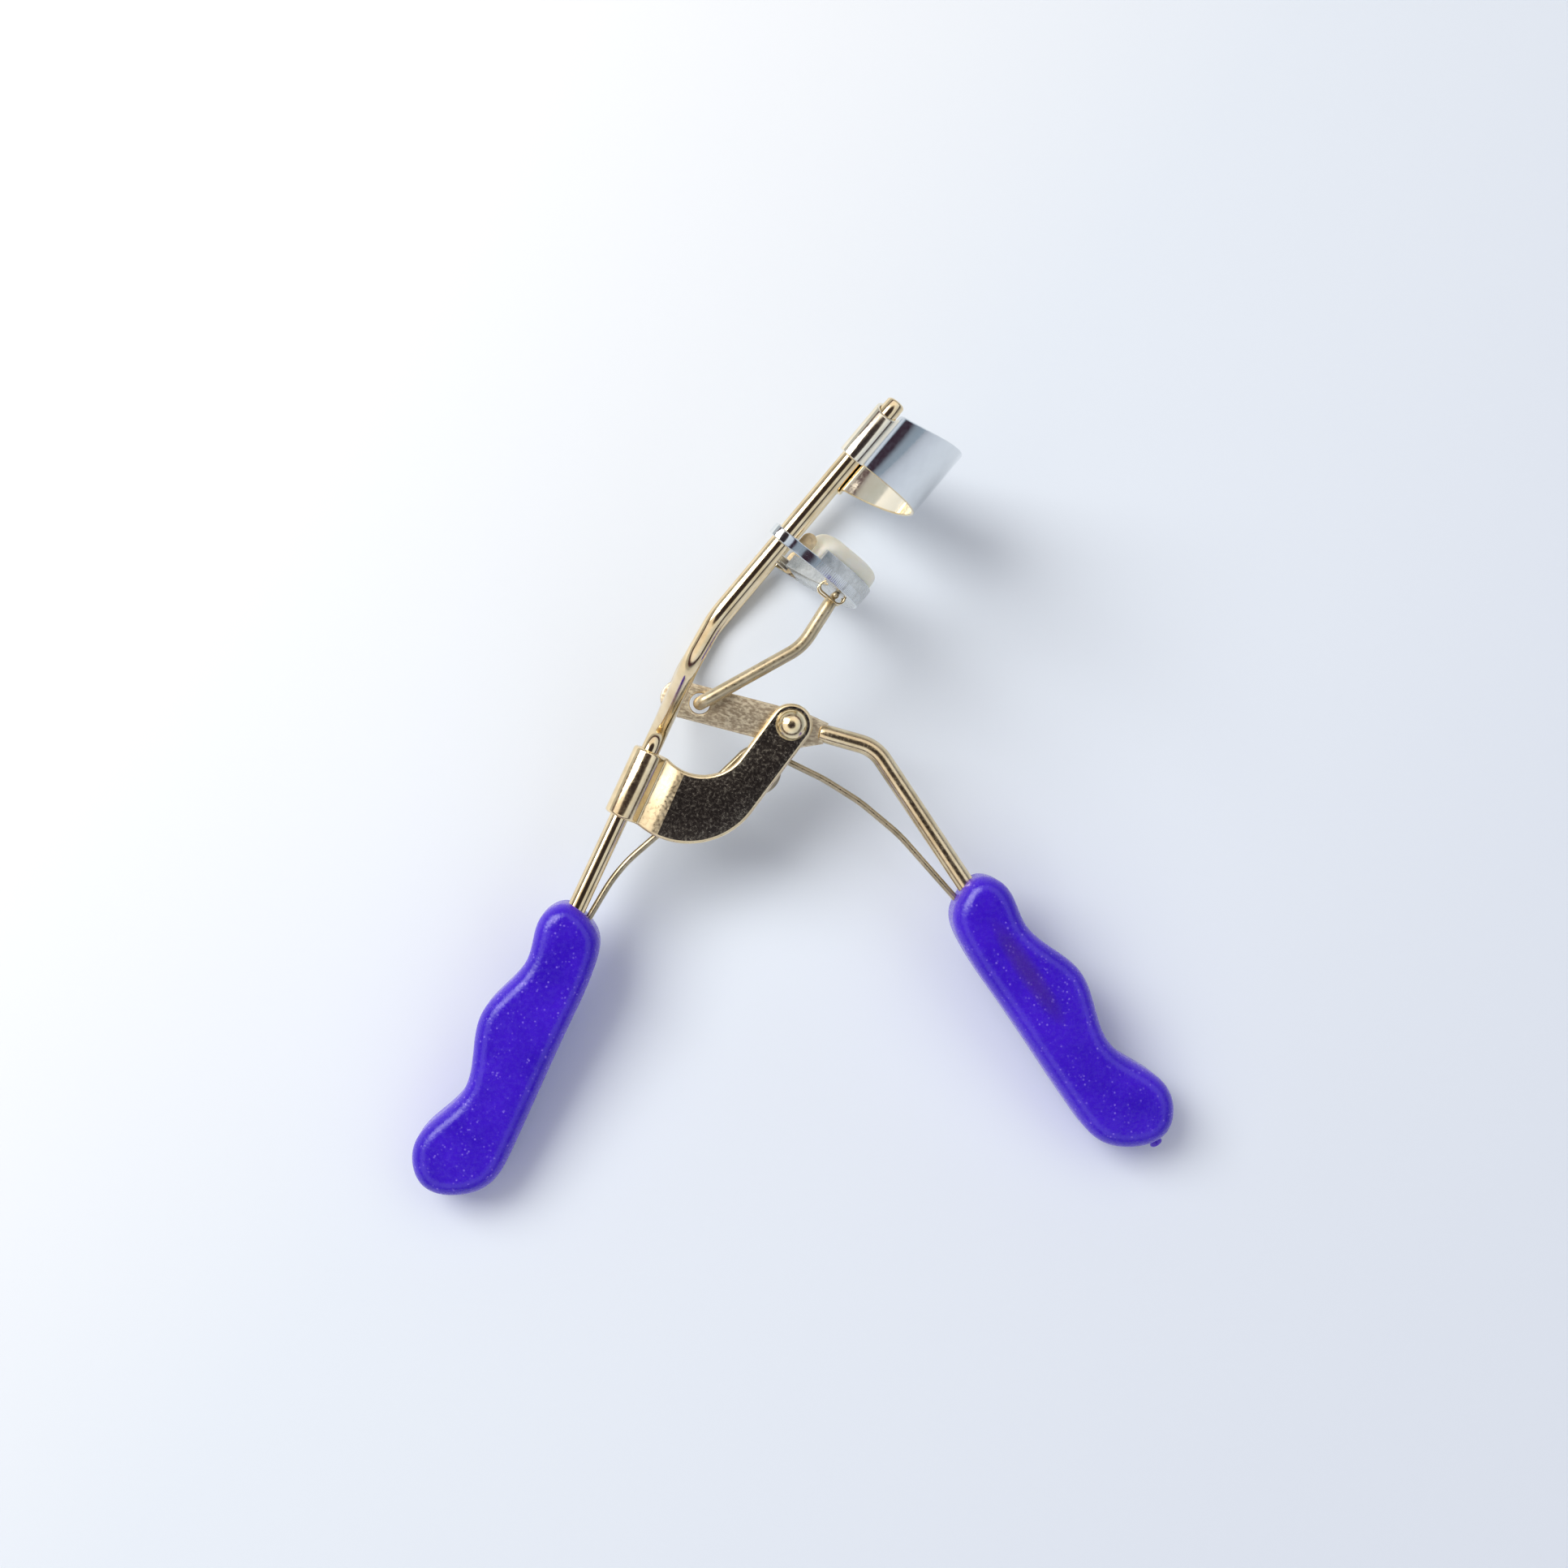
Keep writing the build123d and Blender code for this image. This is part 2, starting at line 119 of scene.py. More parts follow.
def piece(name, verts, faces, material, body, sharp_deg=40.0):
    """A smooth-shaded object from points of the drawing, riding on a body."""
    mesh = bpy.data.meshes.new(name)
    mesh.from_pydata([place(*v) for v in verts], [], faces)
    mesh.validate()
    materials = material if isinstance(material, tuple) else (material,)
    return finish_piece(name, mesh, materials, body, sharp_deg)


def finish_piece(name, mesh, materials, body, sharp_deg):
    """An object from a mesh, smooth but for edges as sharp as given, riding on a body if named."""
    bm = bmesh.new()
    bm.from_mesh(mesh)
    bmesh.ops.recalc_face_normals(bm, faces=bm.faces)
    limit = math.radians(sharp_deg)
    for face in bm.faces:
        face.smooth = True
    for edge in bm.edges:
        edge.smooth = len(edge.link_faces) != 2 or edge.calc_face_angle(0.0) < limit
    bm.to_mesh(mesh)
    bm.free()
    obj = bpy.data.objects.new(name, mesh)
    bpy.context.scene.collection.objects.link(obj)
    for material in materials:
        mesh.materials.append(material)
    if body:
        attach(obj, body)
    return obj


def bridge(faces, start_a, start_b, count):
    """Quads between two closed rings of the same count."""
    for i in range(count):
        j = (i + 1) % count
        faces.append((start_a + i, start_a + j, start_b + j, start_b + i))


def loft(rings, closed_path=False):
    """Vertices and faces of a skin over rings of points, closed at its ends or joined end to end."""
    count = len(rings[0])
    verts = [tuple(p) for ring in rings for p in ring]
    faces = []
    spans = len(rings) if closed_path else len(rings) - 1
    for k in range(spans):
        bridge(faces, k * count, ((k + 1) % len(rings)) * count, count)
    if not closed_path:
        faces.append(tuple(range(count)))
        faces.append(tuple(range((len(rings) - 1) * count, len(rings) * count)))
    return verts, faces


def joined(*parts):
    """Several skins as one."""
    verts, faces = [], []
    for part_verts, part_faces in parts:
        base = len(verts)
        verts.extend(part_verts)
        faces.extend(tuple(base + i for i in face) for face in part_faces)
    return verts, faces


def filleted(points, radii, step=ARC_STEP):
    """The path through the points, with arcs at its corners, as closely spaced points."""
    pts = [np.array(p, float) for p in points]
    path = [pts[0]]
    for i, radius in enumerate(radii, start=1):
        into = pts[i] - pts[i - 1]
        out = pts[i + 1] - pts[i]
        into /= np.linalg.norm(into)
        out /= np.linalg.norm(out)
        turn = math.acos(max(-1.0, min(1.0, float(into @ out))))
        cut = radius * math.tan(turn / 2)
        bisector = out - into
        bisector /= np.linalg.norm(bisector)
        centre = pts[i] + bisector * radius / math.cos(turn / 2)
        first = pts[i] - into * cut - centre
        count = max(FEWEST_SPANS, int(radius * turn / step))
        for k in range(count + 1):
            a = turn * k / count
            path.append(centre + first * math.cos(a) + into * radius * math.sin(a))
    path.append(pts[-1])
    return evened(path, step)


def evened(path, step):
    """Long runs divided, so that a tube bends and blends smoothly."""
    out = [path[0]]
    for point in path[1:]:
        gap = np.linalg.norm(point - out[-1])
        if gap < TOUCHING:
            continue
        count = max(1, int(gap / (RUN_STEPS * step)))
        start = out[-1]
        out.extend(start + (point - start) * (k + 1) / count for k in range(count))
    return out


def tube(path, radius, sides, ends=(None, None)):
    """A round wire along a path. Each end is rounded to a radius, or fully domed."""
    path = [np.array(p, float) for p in path]
    tangents = []
    for i in range(len(path)):
        t = path[min(i + 1, len(path) - 1)] - path[max(i - 1, 0)]
        tangents.append(t / np.linalg.norm(t))
    side = np.cross(tangents[0], (0.0, 0.0, 1.0))
    if np.linalg.norm(side) < NEARLY_PARALLEL:
        side = np.cross(tangents[0], (1.0, 0.0, 0.0))
    stations = [(p, t, 1.0) for p, t in zip(path, tangents)]
    angles = [math.radians(a) for a in CAP_ANGLES]
    for index, sign in ((0, 1), (-1, -1)):
        edge = radius if ends[index] is None else ends[index]
        tip, onward = path[index], tangents[index] * sign
        base = tip + onward * edge
        inside = [s for s in stations if (s[0] - base) @ onward > 0]
        cap = [(base - onward * edge * math.sin(a), tangents[index],
                (radius - edge + edge * math.cos(a)) / radius) for a in angles]
        stations = cap + inside if sign > 0 else inside + cap[::-1]
    rings = []
    for point, tangent, scale in stations:
        side = side - tangent * (side @ tangent)
        side /= np.linalg.norm(side)
        other = np.cross(tangent, side)
        ring = []
        for k in range(sides):
            a = 2 * math.pi * k / sides
            ring.append(point + (side * math.cos(a) + other * math.sin(a)) * radius * scale)
        rings.append(ring)
    return loft(rings)


def brow(height, rise, side):
    """Height at a place across the tool of an arc that rises by the given amount between the rods."""
    half_chord = BROW_REACH * HALF_SPACING
    sag = rise * BROW_REACH ** 2
    radius = (half_chord ** 2 + sag ** 2) / (2 * sag)
    return height + rise - (radius - math.sqrt(radius ** 2 - side ** 2))


def rounded_section(width, edge_r):
    """Corners of a sheet's section: offset across it, which edge (0 low, 1 high), distance from it."""
    corners = []
    half = width / 2
    for sign, edge, first in ((1, 0, -90), (1, 1, 0), (-1, 1, 90), (-1, 0, 180)):
        for k in range(EDGE_STEPS + 1):
            a = math.radians(first + 90 * k / EDGE_STEPS)
            offset = sign * (half - edge_r) + edge_r * math.cos(a)
            inset = edge_r - edge_r * math.sin(a) if edge else edge_r + edge_r * math.sin(a)
            corners.append((offset, edge, inset))
    return corners


def ribbon(line, width, low, high, to_point, edge_r=0.12, closed=False):
    """A bent sheet: a flat line of points given a thickness and raised between two edges."""
    pts = [np.array(p, float) for p in line]
    count = len(pts)
    section = rounded_section(width, edge_r)
    rings = []
    for i, p in enumerate(pts):
        after = pts[(i + 1) % count] if closed else pts[min(i + 1, count - 1)]
        before = pts[i - 1] if closed else pts[max(i - 1, 0)]
        t = after - before
        t /= np.linalg.norm(t)
        normal = np.array((-t[1], t[0]))
        ring = []
        for offset, edge, inset in section:
            q = p + normal * offset
            level = high(q[1]) - inset if edge else low(q[1]) + inset
            ring.append(to_point(q[0], level, q[1]))
        rings.append(ring)
    return loft(rings, closed_path=closed)


def arc2(centre, radius, start, end, step_deg=2.0):
    """Points on a flat arc, in degrees."""
    count = max(4, int(abs(end - start) / step_deg))
    angles = [math.radians(start + (end - start) * k / count) for k in range(count + 1)]
    return [(centre[0] + radius * math.cos(a), centre[1] + radius * math.sin(a)) for a in angles]


def offset_loop(loop, distance):
    """A closed loop moved in by a distance, where the loop runs anticlockwise."""
    pts = np.array(loop, float)
    tangent = np.roll(pts, -1, 0) - np.roll(pts, 1, 0)
    tangent /= np.linalg.norm(tangent, axis=1)[:, None]
    normal = np.stack((-tangent[:, 1], tangent[:, 0]), axis=1)
    return pts + normal * distance


def plate(loops, bottom, top, edge_r, to_point, steps=4):
    """A flat plate with rounded edges. The first loop is its outline and the others are holes."""
    bm = bmesh.new()
    cap_edges = {0: [], 1: []}
    for loop in loops:
        profile = []
        for k in range(steps + 1):
            a = math.radians(90 * k / steps)
            profile.append((edge_r - edge_r * math.sin(a), bottom + edge_r - edge_r * math.cos(a)))
        for k in range(steps + 1):
            a = math.radians(90 * k / steps)
            profile.append((edge_r - edge_r * math.cos(a), top - edge_r + edge_r * math.sin(a)))
        rings = []
        for inset, level in profile:
            moved = offset_loop(loop, inset)
            rings.append([bm.verts.new(to_point(u, v, level)) for u, v in moved])
        count = len(loop)
        for ring_a, ring_b in zip(rings, rings[1:]):
            for i in range(count):
                j = (i + 1) % count
                bm.faces.new((ring_a[i], ring_a[j], ring_b[j], ring_b[i]))
        for cap, ring in ((0, rings[0]), (1, rings[-1])):
            for i in range(count):
                cap_edges[cap].append(bm.edges.get((ring[i], ring[(i + 1) % count])))
    for edges in cap_edges.values():
        bmesh.ops.triangle_fill(bm, edges=edges, use_beauty=True)
    bm.verts.index_update()
    verts = [tuple(v.co) for v in bm.verts]
    faces = [tuple(v.index for v in f.verts) for f in bm.faces]
    bm.free()
    return verts, faces


def flat(u, v, level):
    """A plate's point when it lies in the drawing's plane."""
    return (u, v, level)


def lathe(centre, profile):
    """A turned shape about an axis across the tool. The profile gives radius and height."""
    rings = []
    for radius, z in profile:
        ring = []
        for k in range(TURNED_SIDES):
            a = 2 * math.pi * k / TURNED_SIDES
            ring.append((centre[0] + radius * math.cos(a), centre[1] + radius * math.sin(a), z))
        rings.append(ring)
    return loft(rings)


def softened_copy(node, name, body, materials, width, reaches):
    """A CAD node's shape with its sharp edges eased to a width in millimetres.

    The reaches are distances from the stem's line. A face within the first takes the second
    material, one within the next takes the third, and one beyond them all takes the first. Eased
    edges beyond the first reach take the last material.
    """
    same_point, flat_deg, sharp_deg, smooth_deg, most_corners = 2e-6, 0.5, 30.0, 35.0, 4
    source = frame["nodes"][node]
    bm = bmesh.new()
    bm.from_mesh(source.data)
    bmesh.ops.remove_doubles(bm, verts=bm.verts, dist=same_point)
    bmesh.ops.dissolve_limit(
        bm, angle_limit=math.radians(flat_deg), verts=bm.verts, edges=bm.edges)
    limit = math.radians(sharp_deg)
    sharp = [e for e in bm.edges if len(e.link_faces) == 2 and e.calc_face_angle(0.0) > limit]
    result = bmesh.ops.bevel(
        bm, geom=sharp, offset=width * MM, offset_type="OFFSET", segments=3, profile=0.5,
        affect="EDGES", clamp_overlap=False)
    bmesh.ops.triangulate(bm, faces=[f for f in bm.faces if len(f.verts) > most_corners])
    mesh = bpy.data.meshes.new(name)
    eased = set(result["faces"])
    foot = place(*stem(0.0, 0.0))
    across_stem = (place(*stem(1.0, 0.0)) - foot).normalized()
    for face in bm.faces:
        distance = (face.calc_center_median() - foot) @ across_stem / MM
        look = next((i for i, reach in enumerate(reaches, start=1) if distance < reach), 0)
        face.material_index = len(materials) - 1 if face in eased and look != 1 else look
    bm.to_mesh(mesh)
    bm.free()
    obj = finish_piece(name, mesh, materials, body, smooth_deg)
    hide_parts(node)
    return obj


# ---- materials ----
# How far a noise is drawn out along a grain, from 0 for not at all to 1 for endless streaks.
STREAK_DRAW = 0.55

# Depths of bumps, in metres, and scales of noises, in features per metre.
GRAIN_DEPTH = 0.00002
PIT_DEPTH = 0.00004
PLASTIC_DEPTH = 0.00007
SILICONE_DEPTH = 0.00003
FINE_GRAIN = 2600.0
SLOW_TONE = 420.0


def vector_step(nodes, links, operation, first, second):
    """One step of vector arithmetic. The second value is a link or a constant."""
    step = nodes.new("ShaderNodeVectorMath")
    step.operation = operation
    links.new(first, step.inputs[0])
    if isinstance(second, tuple):
        step.inputs[1].default_value = second
    else:
        links.new(second, step.inputs[1])
    return step


def paint(obj, indices):
    """Gives each face its material, in the order in which the faces were made."""
    obj.data.polygons.foreach_set("material_index", indices)


def new_material(name):
    """A material with one principled shader, and what is needed to build on it."""
    material = bpy.data.materials.new(name)
    material.use_nodes = True
    nodes = material.node_tree.nodes
    nodes.clear()
    shader = nodes.new("ShaderNodeBsdfPrincipled")
    output = nodes.new("ShaderNodeOutputMaterial")
    material.node_tree.links.new(shader.outputs["BSDF"], output.inputs["Surface"])
    return material, nodes, material.node_tree.links, shader


def noise(nodes, links, scale, detail=3.0, rough=0.55, grain_along=None):
    """A noise over the object's own metres, drawn out along a direction if one is given."""
    coords = nodes.new("ShaderNodeTexCoord")
    texture = nodes.new("ShaderNodeTexNoise")
    texture.inputs["Scale"].default_value = scale
    texture.inputs["Detail"].default_value = detail
    texture.inputs["Roughness"].default_value = rough
    source = coords.outputs["Object"]
    if grain_along:
        onward = vector_step(nodes, links, "DOT_PRODUCT", source, tuple(grain_along))
        pull = nodes.new("ShaderNodeVectorMath")
        pull.operation = "SCALE"
        pull.inputs[0].default_value = tuple(grain_along * STREAK_DRAW)
        links.new(onward.outputs["Value"], pull.inputs["Scale"])
        source = vector_step(nodes, links, "SUBTRACT", source, pull.outputs["Vector"]).outputs["Vector"]
    links.new(source, texture.inputs["Vector"])
    return texture.outputs["Fac"]


def ramp(nodes, links, source, stops):
    """A colour ramp: pairs of place and colour."""
    node = nodes.new("ShaderNodeValToRGB")
    while len(node.color_ramp.elements) < len(stops):
        node.color_ramp.elements.new(0.5)
    for element, (at, colour) in zip(node.color_ramp.elements, stops):
        element.position = at
        element.color = (*colour, 1.0)
    links.new(source, node.inputs["Fac"])
    return node.outputs["Color"]


def spread(nodes, links, source, low, high, start=0.3, end=0.7):
    """A value spread evenly between two limits."""
    node = nodes.new("ShaderNodeMapRange")
    node.inputs["From Min"].default_value = start
    node.inputs["From Max"].default_value = end
    node.inputs["To Min"].default_value = low
    node.inputs["To Max"].default_value = high
    links.new(source, node.inputs["Value"])
    return node.outputs["Result"]


def bump(nodes, links, source, shader, strength, distance):
    """Relief from a value, on the shader's normal."""
    node = nodes.new("ShaderNodeBump")
    node.inputs["Strength"].default_value = strength
    node.inputs["Distance"].default_value = distance
    links.new(source, node.inputs["Height"])
    links.new(node.outputs["Normal"], shader.inputs["Normal"])


def metal(name, colour, tarnish, rough, relief=0.15, patch=SLOW_TONE):
    """Plated metal: fine grain, slow changes of tone, and uneven polish."""
    material, nodes, links, shader = new_material(name)
    shader.inputs["Metallic"].default_value = 1.0
    tone = noise(nodes, links, patch, 4.0)
    stops = ((0.32, tarnish), (0.62, colour))
    links.new(ramp(nodes, links, tone, stops), shader.inputs["Base Color"])
    fine = noise(nodes, links, FINE_GRAIN, 2.0)
    links.new(spread(nodes, links, fine, rough * 0.7, rough * 1.45), shader.inputs["Roughness"])
    bump(nodes, links, fine, shader, relief, GRAIN_DEPTH)
    return material


def speckled(name, colour, dark, rough, scale, relief, grain_along=None):
    """Tumbled metal: a smooth darker ground full of small rough light flecks, or of streaks. On the
    bracket's ear the darker, greyer ground is painted shade.

    The roughness is a pair, for the ground and for the flecks.
    """
    material, nodes, links, shader = new_material(name)
    shader.inputs["Metallic"].default_value = 1.0
    pits = noise(nodes, links, scale, 5.0, 0.7, grain_along)
    stops = ((0.44, dark), (0.58, colour))
    links.new(ramp(nodes, links, pits, stops), shader.inputs["Base Color"])
    links.new(spread(nodes, links, pits, *rough, 0.48, 0.72), shader.inputs["Roughness"])
    bump(nodes, links, pits, shader, relief, PIT_DEPTH)
    return material


def painted_hollow_shade(nodes, links, coords, surface, middle, half_length, half_width):
    """The surface's colour, darker and browner inside a long soft oval: painted shade standing in for a
    shallow hollow.
    """
    local = vector_step(nodes, links, "SUBTRACT", coords, tuple(middle)).outputs["Vector"]
    squares = []
    for half in (half_length, half_width):
        part = vector_step(nodes, links, "DOT_PRODUCT", local, tuple(half / half.length_squared))
        square = nodes.new("ShaderNodeMath")
        square.operation = "POWER"
        links.new(part.outputs["Value"], square.inputs[0])
        square.inputs[1].default_value = 2.0
        squares.append(square.outputs[0])
    total = nodes.new("ShaderNodeMath")
    total.operation = "ADD"
    links.new(squares[0], total.inputs[0])
    links.new(squares[1], total.inputs[1])
    shade = nodes.new("ShaderNodeMix")
    shade.data_type = "RGBA"
    links.new(spread(nodes, links, total.outputs[0], 0.62, 0.0, 0.05, 1.0), shade.inputs["Factor"])
    links.new(surface, shade.inputs["A"])
    shade.inputs["B"].default_value = (0.060, 0.022, 0.215, 1.0)
    return shade.outputs["Result"]


def plastic(name, hollow_shade=None):
    """Translucent violet moulding with fine light flakes, painted paler towards its edges as painted
    light on its rounded sides.

    A streak of painted shade, for a shallow hollow, is given by its middle, half its length and half
    its width, as vectors.
    """
    material, nodes, links, shader = new_material(name)
    body_tone = ramp(nodes, links, noise(nodes, links, 160.0, 3.0), (
        (0.35, (0.034, 0.005, 0.500)), (0.68, (0.055, 0.010, 0.620))))
    # Painted light: the rounded sides, which the edge attribute marks, are mixed towards a paler
    # violet.
    edge = nodes.new("ShaderNodeAttribute")
    edge.attribute_name = "edge"
    side_light = nodes.new("ShaderNodeMix")
    side_light.data_type = "RGBA"
    links.new(edge.outputs["Fac"], side_light.inputs["Factor"])
    links.new(body_tone, side_light.inputs["A"])
    side_light.inputs["B"].default_value = (0.115, 0.040, 0.660, 1.0)
    flakes = nodes.new("ShaderNodeTexVoronoi")
    flakes.inputs["Scale"].default_value = 1900.0
    coords = nodes.new("ShaderNodeTexCoord")
    links.new(coords.outputs["Object"], flakes.inputs["Vector"])
    glint = spread(nodes, links, flakes.outputs["Distance"], 0.8, 0.0, 0.08, 0.32)
    sparse = spread(nodes, links, noise(nodes, links, 900.0, 2.0), 0.0, 1.0, 0.50, 0.60)
    amount = nodes.new("ShaderNodeMath")
    amount.operation = "MULTIPLY"
    links.new(glint, amount.inputs[0])
    links.new(sparse, amount.inputs[1])
    fleck = nodes.new("ShaderNodeMix")
    fleck.data_type = "RGBA"
    links.new(amount.outputs[0], fleck.inputs["Factor"])
    links.new(side_light.outputs["Result"], fleck.inputs["A"])
    fleck.inputs["B"].default_value = (0.30, 0.20, 0.86, 1.0)
    surface = fleck.outputs["Result"]
    # Painted shade: a long soft oval is darkened where a shallow hollow would hold shade.
    if hollow_shade:
        surface = painted_hollow_shade(nodes, links, coords.outputs["Object"], surface, *hollow_shade)
    links.new(surface, shader.inputs["Base Color"])
    grain = noise(nodes, links, 1900.0, 3.0)
    links.new(spread(nodes, links, grain, 0.16, 0.36), shader.inputs["Roughness"])
    shader.inputs["Subsurface Weight"].default_value = 0.10
    shader.inputs["Subsurface Radius"].default_value = (0.3, 0.1, 1.0)
    shader.inputs["Subsurface Scale"].default_value = 0.002
    bump(nodes, links, grain, shader, 0.75, PLASTIC_DEPTH)
    return material


def silicone(name):
    """Soft cream rubber with faint mottling."""
    material, nodes, links, shader = new_material(name)
    tone = noise(nodes, links, 300.0, 4.0)
    stops = ((0.35, (0.97, 0.88, 0.69)), (0.70, (1.0, 0.95, 0.82)))
    links.new(ramp(nodes, links, tone, stops), shader.inputs["Base Color"])
    shader.inputs["Subsurface Weight"].default_value = 0.45
    shader.inputs["Subsurface Radius"].default_value = (1.0, 0.8, 0.5)
    shader.inputs["Subsurface Scale"].default_value = 0.0012
    fine = noise(nodes, links, 2400.0, 2.0)
    links.new(spread(nodes, links, fine, 0.38, 0.55), shader.inputs["Roughness"])
    bump(nodes, links, fine, shader, 0.2, SILICONE_DEPTH)
    return material


GOLD_WIRE = metal("gold_wire_look", (0.90, 0.74, 0.48), (0.76, 0.59, 0.34), 0.10, relief=0.10)
CHROME = metal("jaw_chrome_look", (0.76, 0.79, 0.80), (0.72, 0.75, 0.76), 0.10, relief=0.05)
JAW_INNER = metal("jaw_inner_look", (0.93, 0.86, 0.70), (0.88, 0.80, 0.62), 0.12, relief=0.02)
# Painted shade: the channel is the same sheet as the chrome strip, given a darker grey copy for the
# dimmer look of its wall; its mottling is tone.
JAW_CHANNEL_SHADE = metal("jaw_channel_shade_look", (0.62, 0.63, 0.61), (0.47, 0.48, 0.46), 0.24, patch=900.0)
JAW_EDGE = metal("jaw_edge_look", (0.88, 0.74, 0.48), (0.74, 0.58, 0.34), 0.18)
TAB_GOLD = metal("jaw_tab_look", (0.86, 0.72, 0.48), (0.66, 0.52, 0.32), 0.55)
SATIN_GOLD = metal(
    "satin_gold_look", (0.70, 0.59, 0.40), (0.56, 0.46, 0.29), 0.36, relief=0.18, patch=300.0)
LEVER_GOLD = metal("lever_gold_look", (0.84, 0.70, 0.46), (0.66, 0.52, 0.31), 0.20, relief=0.15)
BAR_GOLD = speckled(
    "bar_gold_look", (0.95, 0.84, 0.62), (0.66, 0.53, 0.36), (0.40, 0.55), 3400.0, 0.45, BAR_ALONG)
# The bracket's one plating in lit and shaded copies: the ear's darker, greyer ground is painted shade,
# and the brighter rim copy on its neck and eased edges is painted highlight. The ear's flecks are its
# grain.
BRACKET_EAR_SHADE = speckled(
    "bracket_ear_shade_look", (0.62, 0.58, 0.47), (0.34, 0.32, 0.27), (0.15, 0.33), 2900.0, 0.30)
BRACKET_BARREL = metal(
    "bracket_barrel_look", (0.95, 0.78, 0.50), (0.80, 0.62, 0.36), 0.15, relief=0.2)
BRACKET_RIM_HIGHLIGHT = metal(
    "bracket_rim_highlight_look", (0.98, 0.83, 0.56), (0.84, 0.68, 0.42), 0.34, relief=0.25)
RIVET = metal("rivet_look", (0.96, 0.82, 0.54), (0.84, 0.68, 0.40), 0.17)
SPRING = metal("spring_look", (0.55, 0.47, 0.33), (0.38, 0.32, 0.21), 0.32)
VIOLET = plastic("violet_plastic_look")

# The right grip has a faint streak of painted shade along its upper face, for a shallow hollow; the
# face itself is not sunk.
HOLLOW_SHADE_MIDDLE = place(29.9, -23.0, 4.0)
HOLLOW_SHADE_HALF_LENGTH = (place(31.0, -29.4) - place(22.0, -16.1)) * 0.53
HOLLOW_SHADE_HALF_WIDTH = (place(1.0, 0.68) - place(0.0, 0.0)) * 1.25
VIOLET_HOLLOW_SHADE = plastic("violet_hollow_shade_look", (HOLLOW_SHADE_MIDDLE, HOLLOW_SHADE_HALF_LENGTH, HOLLOW_SHADE_HALF_WIDTH))
CREAM = silicone("cream_silicone_look")


# ---- frame body ----
def guide_rod(name, side, shoulder):
    """One bent wire: up the stem from inside the grip, out at the shoulder, and up the head."""
    grip_mouth, depth_in_grip = -17.5, 14.0
    collar_half, neck = 3.6, 2.6
    stem_side, head_foot, head_tip = 1.2, 9.9, 42.8
    bend_radii, tip_edge, sides = (4.0, 6.0, 7.0), 0.45, 48
    foot = stem(0, grip_mouth - depth_in_grip)
    collar_top = stem(0, collar_half + neck)
    z_stem = side * stem_side
    z_head = side * HALF_SPACING
    points = [(*foot, z_stem), (*collar_top, z_stem), shoulder]
    points += [head(0, head_foot, z_head), head(0, head_tip, z_head)]
    skin = tube(filleted(points, bend_radii), ROD_R, sides, (None, tip_edge))
    rod = piece(name + "_wire", *skin, GOLD_WIRE, "frame")
    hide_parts(name)


guide_rod("near_guide_rod", 1, (-11.7, 14.9, 14.8))
guide_rod("far_guide_rod", -1, (-12.3, 14.8, -14.8))


def mirrored(half_line):
    """A flat line followed by its mirror image, as one line from side to side."""
    return half_line + [(u, -v) for u, v in reversed(half_line)]


def upper_jaw_line():
    """Roll, flat, fold and half of the plate, from the roll's free end to the mid-plane."""
    roll_play, roll_start, roll_end, roll_step = 0.08, 300.0, 0.0, 6.0
    fold_r, fold_step, plate_step, past_fold = 1.3, 0.2, 1.5, 3
    roll_r = ROD_R + roll_play + SHEET / 2
    roll = arc2((0, HALF_SPACING), roll_r, roll_start, roll_end, roll_step)
    meet = math.sqrt(LASH_R ** 2 - (roll_r - LASH_CENTRE) ** 2)
    angle = math.degrees(math.atan2(meet, roll_r - LASH_CENTRE))
    plate_line = arc2((LASH_CENTRE, 0), LASH_R, angle, 0.0, plate_step)
    straight = [np.array((roll_r, HALF_SPACING, 0.0)), np.array((roll_r, meet, 0.0))]
    onward = np.array((*plate_line[past_fold], 0.0))
    corner = filleted([straight[0], straight[1], onward], [fold_r], fold_step)
    fold = [(p[0], p[1]) for p in corner[1:-1]]
    return roll + fold + plate_line[past_fold:-1]


def low_lash_edge(side):
    """The upper jaw's edge towards the pad, at a place across the tool."""
    return brow(34.46, BROW_RISE, side)


def high_lash_edge(side):
    """The upper jaw's edge away from the pad."""
    return brow(41.0, 4.7, side)


def upper_jaw():
    """The plate with its ends rolled round the rods: chrome outside, warmer inside and on its rolls."""
    edge_r, sharp_deg = 0.15, 60.0
    skin = ribbon(
        mirrored(upper_jaw_line()), SHEET, low_lash_edge, high_lash_edge, head, edge_r)
    jaw = piece("upper_jaw_plate", *skin, (CHROME, JAW_INNER, JAW_EDGE), "frame", sharp_deg)
    chrome, inner, edge = 0, 1, 2
    roll_spans, inner_face, low_edge_faces = 50, 11, (0, 1, 2, 12, 13, 14, 15)
    spans = len(skin[1]) // SECTION_POINTS
    look = []
    for i in range(len(skin[1])):
        span, face = divmod(i, SECTION_POINTS)
        if min(span, spans - span) < roll_spans or face == inner_face:
            look.append(inner)
        else:
            look.append(edge if face in low_edge_faces else chrome)
    paint(jaw, look)
    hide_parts("upper_jaw")


upper_jaw()


# Faces beyond the flange reach, on the ear, take the painted shade copy; faces between the two reaches,
# and eased edges beyond the barrel, take the painted highlight copy.
RIM_WIDTH = 0.36
BARREL_REACH, FLANGE_REACH = 2.4, 5.0
bracket = softened_copy(
    "pivot_bracket", "pivot_bracket_clevis", "frame", (BRACKET_EAR_SHADE, BRACKET_BARREL, BRACKET_RIM_HIGHLIGHT),
    RIM_WIDTH, (BARREL_REACH, FLANGE_REACH))


